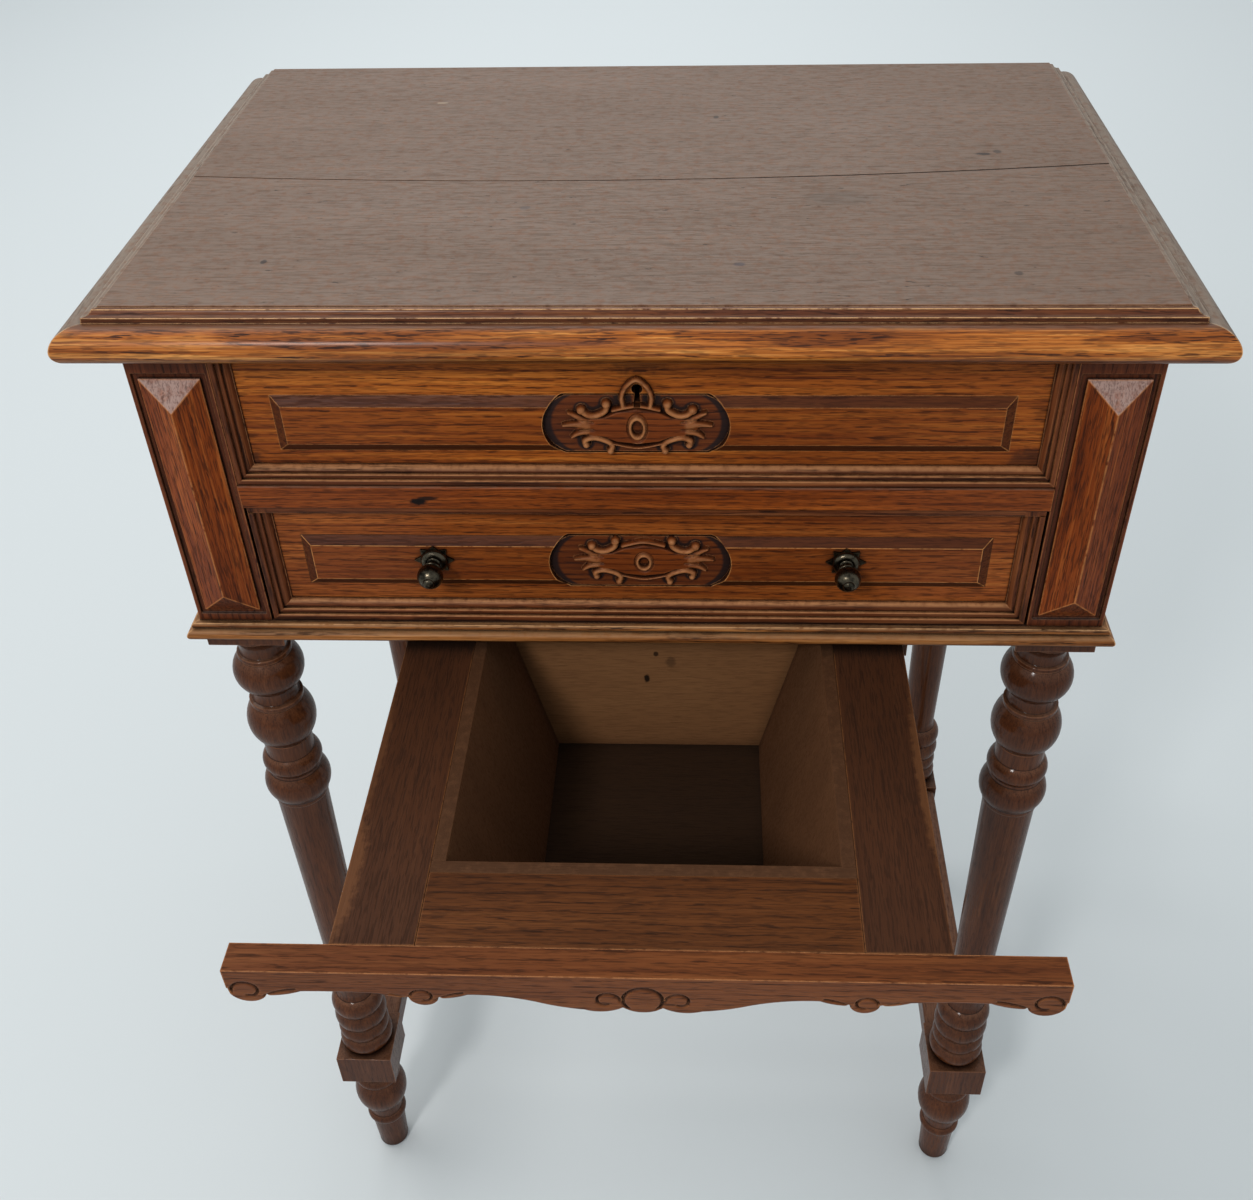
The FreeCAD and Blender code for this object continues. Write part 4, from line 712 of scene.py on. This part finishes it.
def make_apron():
    """The apron in front of the bin: carved scrolls and leaves along a shaped lower edge."""
    half = APRON_HALF - 0.02
    xs = np.linspace(-half, half, APRON_COLUMNS)
    share = np.linspace(0, 1, APRON_ROWS) ** 1.15    # closer together near the top
    x, s = np.meshgrid(xs, share)
    edge = apron_edge(x)
    z = edge * (1 - s)
    cut = np.zeros(x.shape)
    for points, wide, deep in apron_grooves():
        path = smooth_path(points, 3)
        for side in (-1, 1):
            away, _ = along_path(x * side, z, path)
            cut = np.maximum(cut, deep * np.exp(-((away / wide) ** 2)))
    near_edge = np.clip((z - edge) / 1.6, 0, 1)
    rounded = 1.1 * (1 - np.sqrt(1 - (1 - near_edge) ** 2))
    volute = np.exp(-(((np.abs(x) - 168) / 6.5) ** 2) - ((z + 14.5) / 6.0) ** 2)
    front = APRON_LOW.y / MM + cut + rounded + 0.25 * volute
    back = np.full(x.shape, APRON_HIGH.y / MM - 0.01)
    mesh = bpy.data.meshes.new("carved_apron")
    rows, columns = x.shape
    top = APRON_HIGH.z / MM
    count = rows * columns
    sheets = [np.stack([x + APRON_MIDDLE, y, z + top], -1).reshape(-1, 3) * MM for y in (front, back)]
    points = np.vstack(sheets)
    index = np.arange(count).reshape(rows, columns)
    faces = []
    for i in range(rows - 1):
        for j in range(columns - 1):
            a, b, c, d = index[i, j], index[i, j + 1], index[i + 1, j + 1], index[i + 1, j]
            faces.append((a, b, c, d))
            faces.append((d + count, c + count, b + count, a + count))
    rim = [index[0, j] for j in range(columns)] + [index[i, -1] for i in range(1, rows)]
    rim += [index[-1, j] for j in range(columns - 2, -1, -1)] + [index[i, 0] for i in range(rows - 2, 0, -1)]
    for a, b in zip(rim, rim[1:] + rim[:1]):
        faces.append((a, a + count, b + count, b))
    mesh.from_pydata(points.tolist(), [], [tuple(int(v) for v in f) for f in faces])
    ground = mesh.attributes.new("ground", "FLOAT", "POINT")
    shade = np.concatenate([np.clip(cut * 0.8, 0, 1).ravel(), np.zeros(count)])
    ground.data.foreach_set("value", shade.astype(np.float32))
    mesh.validate()
    mesh.shade_smooth()
    mesh.set_sharp_from_angle(angle=math.radians(50))
    made = piece("carved_apron", mesh, "bin", "oak_bin", "bin_apron")
    paint(made, oak_material("apron_oak", APRON_OAK, "x", (0.2, -0.13, 0.36), carved=True))


# ---------------------------------------------------------------- which finish and grain each part has
# node: (finish, axis of the grain, radius of the eased edges in millimetres; 0 leaves the node as it is)
WOOD = {
    "lid_front_board": (TOP_OAK, "x", 0.5),
    "lid_rear_board": (TOP_OAK, "x", 0.5),
    "lid_moulding_front": (NOSING_OAK, "x", 0.5),
    "lid_moulding_left": (EDGE_OAK, "y", 0.5),
    "lid_moulding_right": (EDGE_OAK, "y", 0.5),
    "base_moulding_front": (BASE_OAK, "x", 0.4),
    "base_moulding_left": (BASE_OAK, "y", 0.4),
    "base_moulding_right": (BASE_OAK, "y", 0.4),
    "upper_front_panel": (PANEL_OAK, "x", 0.45),
    "upper_front_mouldings": (STRIP_OAK, "x", 0.25),
    "divider_rail": (RAIL_FRONT_OAK, "x", 0.4),
    "drawer_front": (DRAWER_OAK, "x", 0.45),
    "drawer_front_mouldings": (STRIP_OAK, "x", 0.25),
    "front_left_post": (POST_OAK, "z", 0.5),
    "front_right_post": (POST_OAK, "z", 0.5),
    "post_lozenges": (LOZENGE_OAK, "z", 0.4),
    "rear_left_post": (CARCASE_OAK, "z", 0.5),
    "rear_right_post": (CARCASE_OAK, "z", 0.5),
    "left_side_panel": (CARCASE_OAK, "y", 0.5),
    "right_side_panel": (CARCASE_OAK, "y", 0.5),
    "back_panel": (CARCASE_OAK, "x", 0.0),
    "bottom_board": (CARCASE_OAK, "x", 0.0),
    "front_left_leg": (LEG_OAK, "z", 0.4),
    "front_right_leg": (LEG_OAK, "z", 0.4),
    "rear_left_leg": (LEG_OAK, "z", 0.4),
    "rear_right_leg": (LEG_OAK, "z", 0.4),
    "left_stretcher": (LEG_OAK, "y", 0.6),
    "right_stretcher": (LEG_OAK, "y", 0.6),
    "cross_stretcher": (LEG_OAK, "x", 0.0),
    "bin_left_rail": (BIN_OAK, "y", 0.5),
    "bin_right_rail": (BIN_OAK, "y", 0.5),
    "bin_front_rail": (RAIL_OAK, "x", 0.4),
    "bin_rear_rail": (BIN_OAK, "x", 0.4),
    "left_bin_runner": (BIN_OAK, "y", 0.0),
    "right_bin_runner": (BIN_OAK, "y", 0.0),
    "hopper_left_wall": (HOPPER_SHADED_OAK, "z", 0.3),
    "hopper_right_wall": (HOPPER_SHADED_OAK, "z", 0.3),
    "hopper_front_wall": (HOPPER_SHADED_OAK, "x", 0.3),
    "hopper_rear_wall": (HOPPER_LIT_BACK_OAK, "x", 0.3),
    "hopper_floor": (HOPPER_SHADED_FLOOR_OAK, "x", 0.3),
    "well_floor": (LINING, "x", 0.0),
    "well_dividers": (LINING, "x", 0.3),
    "drawer_guides": (LINING, "y", 0.0),
    "drawer_left_side": (LINING, "y", 0.3),
    "drawer_right_side": (LINING, "y", 0.3),
    "drawer_back": (LINING, "x", 0.3),
    "drawer_bottom": (LINING, "x", 0.0),
}
BRASS = linear(150, 120, 62)
OLD_BRASS = linear(84, 66, 38)
# node: (colour, roughness, colour where it is dull)
METAL = {
    "hinge_box_leaves": (BRASS, 0.38, OLD_BRASS),
    "hinge_lid_leaves": (BRASS, 0.38, OLD_BRASS),
    "hinge_pins": (BRASS, 0.34, OLD_BRASS),
    "drawer_knobs": (linear(92, 84, 70), 0.28, linear(34, 32, 28)),
    "knob_rosettes": (linear(78, 70, 56), 0.42, linear(30, 27, 22)),
    "lock_case": (linear(128, 124, 118), 0.45, linear(74, 66, 58)),
    "lock_bolt": (linear(150, 146, 140), 0.35, linear(92, 86, 78)),
    "lock_strike_plate": (linear(128, 124, 118), 0.42, linear(74, 66, 58)),
    "lock_screws": (linear(140, 136, 130), 0.4, linear(78, 70, 62)),
    "hinge_box_screws": (linear(140, 132, 116), 0.4, linear(78, 70, 62)),
    "hinge_lid_screws": (linear(140, 132, 116), 0.4, linear(78, 70, 62)),
    "bin_runner_screws": (linear(130, 124, 116), 0.45, linear(72, 62, 54)),
}


FIELD_RISE = 3.0              # millimetres that a raised field stands before its panel
FIELD_TINT = (0.0012, 0.38)   # depth over which a field's dark tint fades out, and its strength
COVE_TINT = (0.0153, 0.0158, 0.8)   # heights over the nosing where the cove's tint grows, and its strength
STRIP_WIDE = 8.6
DRAWER_STRIP_WIDE = 10.0
JOINT_FROM_NOSE = (165.0, 157.5, 176.0)     # the lid's joint at its left end, middle and right end
INK = linear(52, 46, 44)
# marks on a part: (middle, half size, colour, strength)
SPOTS = {
    "lid_front_board": [
        ((-0.177, -0.014, 0.752), (0.0018, 0.0028, 0.002), INK, 0.8),
        ((0.046, -0.018, 0.752), (0.0034, 0.0022, 0.002), linear(78, 72, 78), 0.7),
        ((0.098, 0.056, 0.752), (0.020, 0.010, 0.002), linear(92, 82, 74), 0.35),
        ((0.172, -0.028, 0.752), (0.0022, 0.0022, 0.002), INK, 0.6),
        ((-0.060, 0.046, 0.752), (0.0030, 0.0024, 0.002), linear(86, 78, 78), 0.55),
    ],
    "lid_rear_board": [
        ((0.178, 0.113, 0.752), (0.0046, 0.0020, 0.002), INK, 0.8),
        ((0.186, 0.116, 0.752), (0.0026, 0.0034, 0.002), INK, 0.6),
        ((0.036, 0.170, 0.752), (0.0018, 0.0026, 0.002), INK, 0.7),
        ((-0.125, 0.196, 0.752), (0.0034, 0.0018, 0.002), linear(170, 150, 128), 0.6),
    ],
    "divider_rail": [
        ((-0.110, -0.059, 0.6462), (0.0052, 0.006, 0.0022), linear(22, 12, 9), 1.0),
        ((-0.105, -0.059, 0.6480), (0.0060, 0.006, 0.0012), linear(26, 15, 11), 0.9),
    ],
    "upper_front_panel": [
        ((0.0, -0.052, 0.722), (0.020, 0.012, 0.010), linear(48, 24, 12), 0.55),
        # two darker patches in the panel's lower corners beside the strips: painted shade and dirt
        ((-0.192, -0.052, 0.662), (0.008, 0.012, 0.010), linear(44, 26, 18), 0.6),
        ((0.186, -0.052, 0.664), (0.012, 0.012, 0.010), linear(44, 26, 18), 0.6),
    ],
    "bin_left_rail": [
        ((-0.128, -0.215, 0.553), (0.0075, 0.040, 0.006), linear(124, 80, 50), 0.5),
        ((-0.129, -0.140, 0.553), (0.0050, 0.060, 0.006), linear(112, 72, 45), 0.4),
    ],
    "bin_right_rail": [
        ((0.136, -0.150, 0.553), (0.0045, 0.060, 0.006), linear(118, 76, 46), 0.55),
    ],
    "hopper_rear_wall": [
        ((0.0036, -0.0217, 0.5119), (0.0017, 0.01, 0.0020), linear(34, 22, 16), 0.85),
        ((0.0122, -0.0217, 0.5057), (0.0036, 0.01, 0.0044), linear(54, 38, 28), 0.5),
        ((-0.0020, -0.0217, 0.4930), (0.0019, 0.01, 0.0036), linear(26, 18, 13), 0.95),
    ],
}


def pith_of(node, grain):
    """A place for the pith of one board, in board space, away from the board and its own for each."""
    draw = random.Random(node)
    low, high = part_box(node)
    middle = (low + high) / 2
    order = BOARD_AXES[grain]
    away = 0.06 + 0.05 * draw.random()
    side = draw.choice((-1, 1))
    along = draw.uniform(-3, 3)
    return along, middle[order[1]] + side * away, middle[order[2]] - away * draw.uniform(0.8, 1.6)


def strip_corner(node):
    """The inner corner of a frame of strips on the front, as (half width, height) in metres."""
    low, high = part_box(node)
    wide = (STRIP_WIDE if node.startswith("upper") else DRAWER_STRIP_WIDE) * MM
    return high.x - wide, low.z + wide


def joint_line():
    """The joint between the lid's boards: y at the middle, slope, bend, half width there and its growth."""
    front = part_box("lid_moulding_front")[0].y / MM
    low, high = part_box("lid_front_board")
    half = (high.x - low.x) / 2 / MM
    left, middle, right = (front + away for away in JOINT_FROM_NOSE)
    bend = ((left + right) / 2 - middle) / half**2
    return middle * MM, (right - left) / 2 / half, bend / MM, 0.00075, 0.0016


def dress_wood():
    """Materials and eased edges for every wooden part."""
    for node, (finish, grain, ease) in WOOD.items():
        extra = {"spots": SPOTS.get(node, ())}
        if node in ("upper_front_mouldings", "drawer_front_mouldings"):
            extra["mitre"] = strip_corner(node)
        if node in ("upper_front_panel", "drawer_front"):
            face = (PANEL_FACE - FIELD_RISE) * MM
            fade, strength = FIELD_TINT
            extra["band"] = (1, face + fade, face, finish.dark, strength)
        if node == "lid_moulding_front":
            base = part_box(node)[0].z
            start, end, strength = COVE_TINT
            extra["band"] = (2, base + start, base + end, linear(84, 44, 28), strength)
        if node in ("lid_front_board", "lid_rear_board"):
            extra["crack"] = joint_line()
        material = oak_material(node + "_oak", finish, grain, pith_of(node, grain), **extra)
        thing = eased(node, ease * MM) if ease else NODES[node]
        paint(thing, material)


def dress_metal():
    """Materials for every metal part."""
    for node, (colour, roughness, dull) in METAL.items():
        paint(NODES[node], metal_material(node + "_metal", colour, roughness, dull))


# ---------------------------------------------------------------- floor, light and camera
CAMERA_PLACE = (0.02993, -0.59238, 1.02905)
CAMERA_YAW = math.radians(-2.8386)
CAMERA_PITCH = math.radians(39.0146)
CAMERA_ROLL = math.radians(-1.4173)
FOCAL_LENGTH = 38.60
SHIFT = (-0.0193, -0.01455)


def make_camera():
    """The viewing angle: from above the front, a little to the right, looking down."""
    ahead = Vector((math.sin(CAMERA_YAW) * math.cos(CAMERA_PITCH),
                    math.cos(CAMERA_YAW) * math.cos(CAMERA_PITCH), -math.sin(CAMERA_PITCH)))
    level = Vector((math.cos(CAMERA_YAW), -math.sin(CAMERA_YAW), 0))
    upright = level.cross(ahead)
    right = math.cos(CAMERA_ROLL) * level + math.sin(CAMERA_ROLL) * upright
    up = right.cross(ahead)
    turn = Matrix((right, up, -ahead)).transposed()
    data = bpy.data.cameras.new("camera")
    data.sensor_width = 36.0
    data.lens = FOCAL_LENGTH
    data.shift_x, data.shift_y = SHIFT
    data.clip_start = 0.01
    camera = bpy.data.objects.new("camera", data)
    camera.matrix_world = Matrix.Translation(CAMERA_PLACE) @ turn.to_4x4()
    bpy.context.scene.collection.objects.link(camera)
    bpy.context.scene.camera = camera


def make_floor():
    """A large plain pale floor."""
    half = 6.0
    corners = [(-half, -half, 0), (half, -half, 0), (half, half, 0), (-half, half, 0)]
    mesh = bpy.data.meshes.new("floor")
    mesh.from_pydata(corners, [], [(0, 1, 2, 3)])
    floor = bpy.data.objects.new("floor", mesh)
    bpy.context.scene.collection.objects.link(floor)
    material = bpy.data.materials.new("pale_floor")
    material.use_nodes = True
    shader = material.node_tree.nodes["Principled BSDF"]
    shader.inputs["Base Color"].default_value = (*linear(217, 222, 224), 1)
    shader.inputs["Roughness"].default_value = 0.7
    mesh.materials.append(material)


def area_light(name, place, target, size, power, colour=(1, 1, 1)):
    """A square light that faces a target and isn't seen itself."""
    data = bpy.data.lights.new(name, "AREA")
    data.shape = "SQUARE"
    data.size = size
    data.energy = power
    data.color = colour
    light = bpy.data.objects.new(name, data)
    light.location = place
    light.visible_camera = False
    light.rotation_euler = (Vector(target) - Vector(place)).to_track_quat("-Z", "Y").to_euler()
    bpy.context.scene.collection.objects.link(light)


def make_light():
    """Soft studio light: a bright pale surround, a wide light high on the left, and a small one in front."""
    area_light("key", (-1.5, 0.7, 2.6), (0, 0.1, 0.4), 1.6, 18, (1.0, 0.98, 0.95))
    area_light("front", (-0.7, -1.6, 2.0), (0, 0, 0.5), 0.3, 17, (1.0, 0.98, 0.96))
    area_light("far", (-0.3, 3.0, 2.6), (-0.3, 3.0, 0), 2.0, 30)
    world = bpy.data.worlds.new("surround")
    world.use_nodes = True
    background = world.node_tree.nodes["Background"]
    background.inputs["Color"].default_value = (0.87, 0.93, 0.95, 1)
    background.inputs["Strength"].default_value = 0.64
    bpy.context.scene.world = world
    bpy.context.scene.view_settings.view_transform = "Standard"


make_camera()
make_floor()
make_light()
dress_wood()
dress_metal()
make_cartouches()
make_apron()
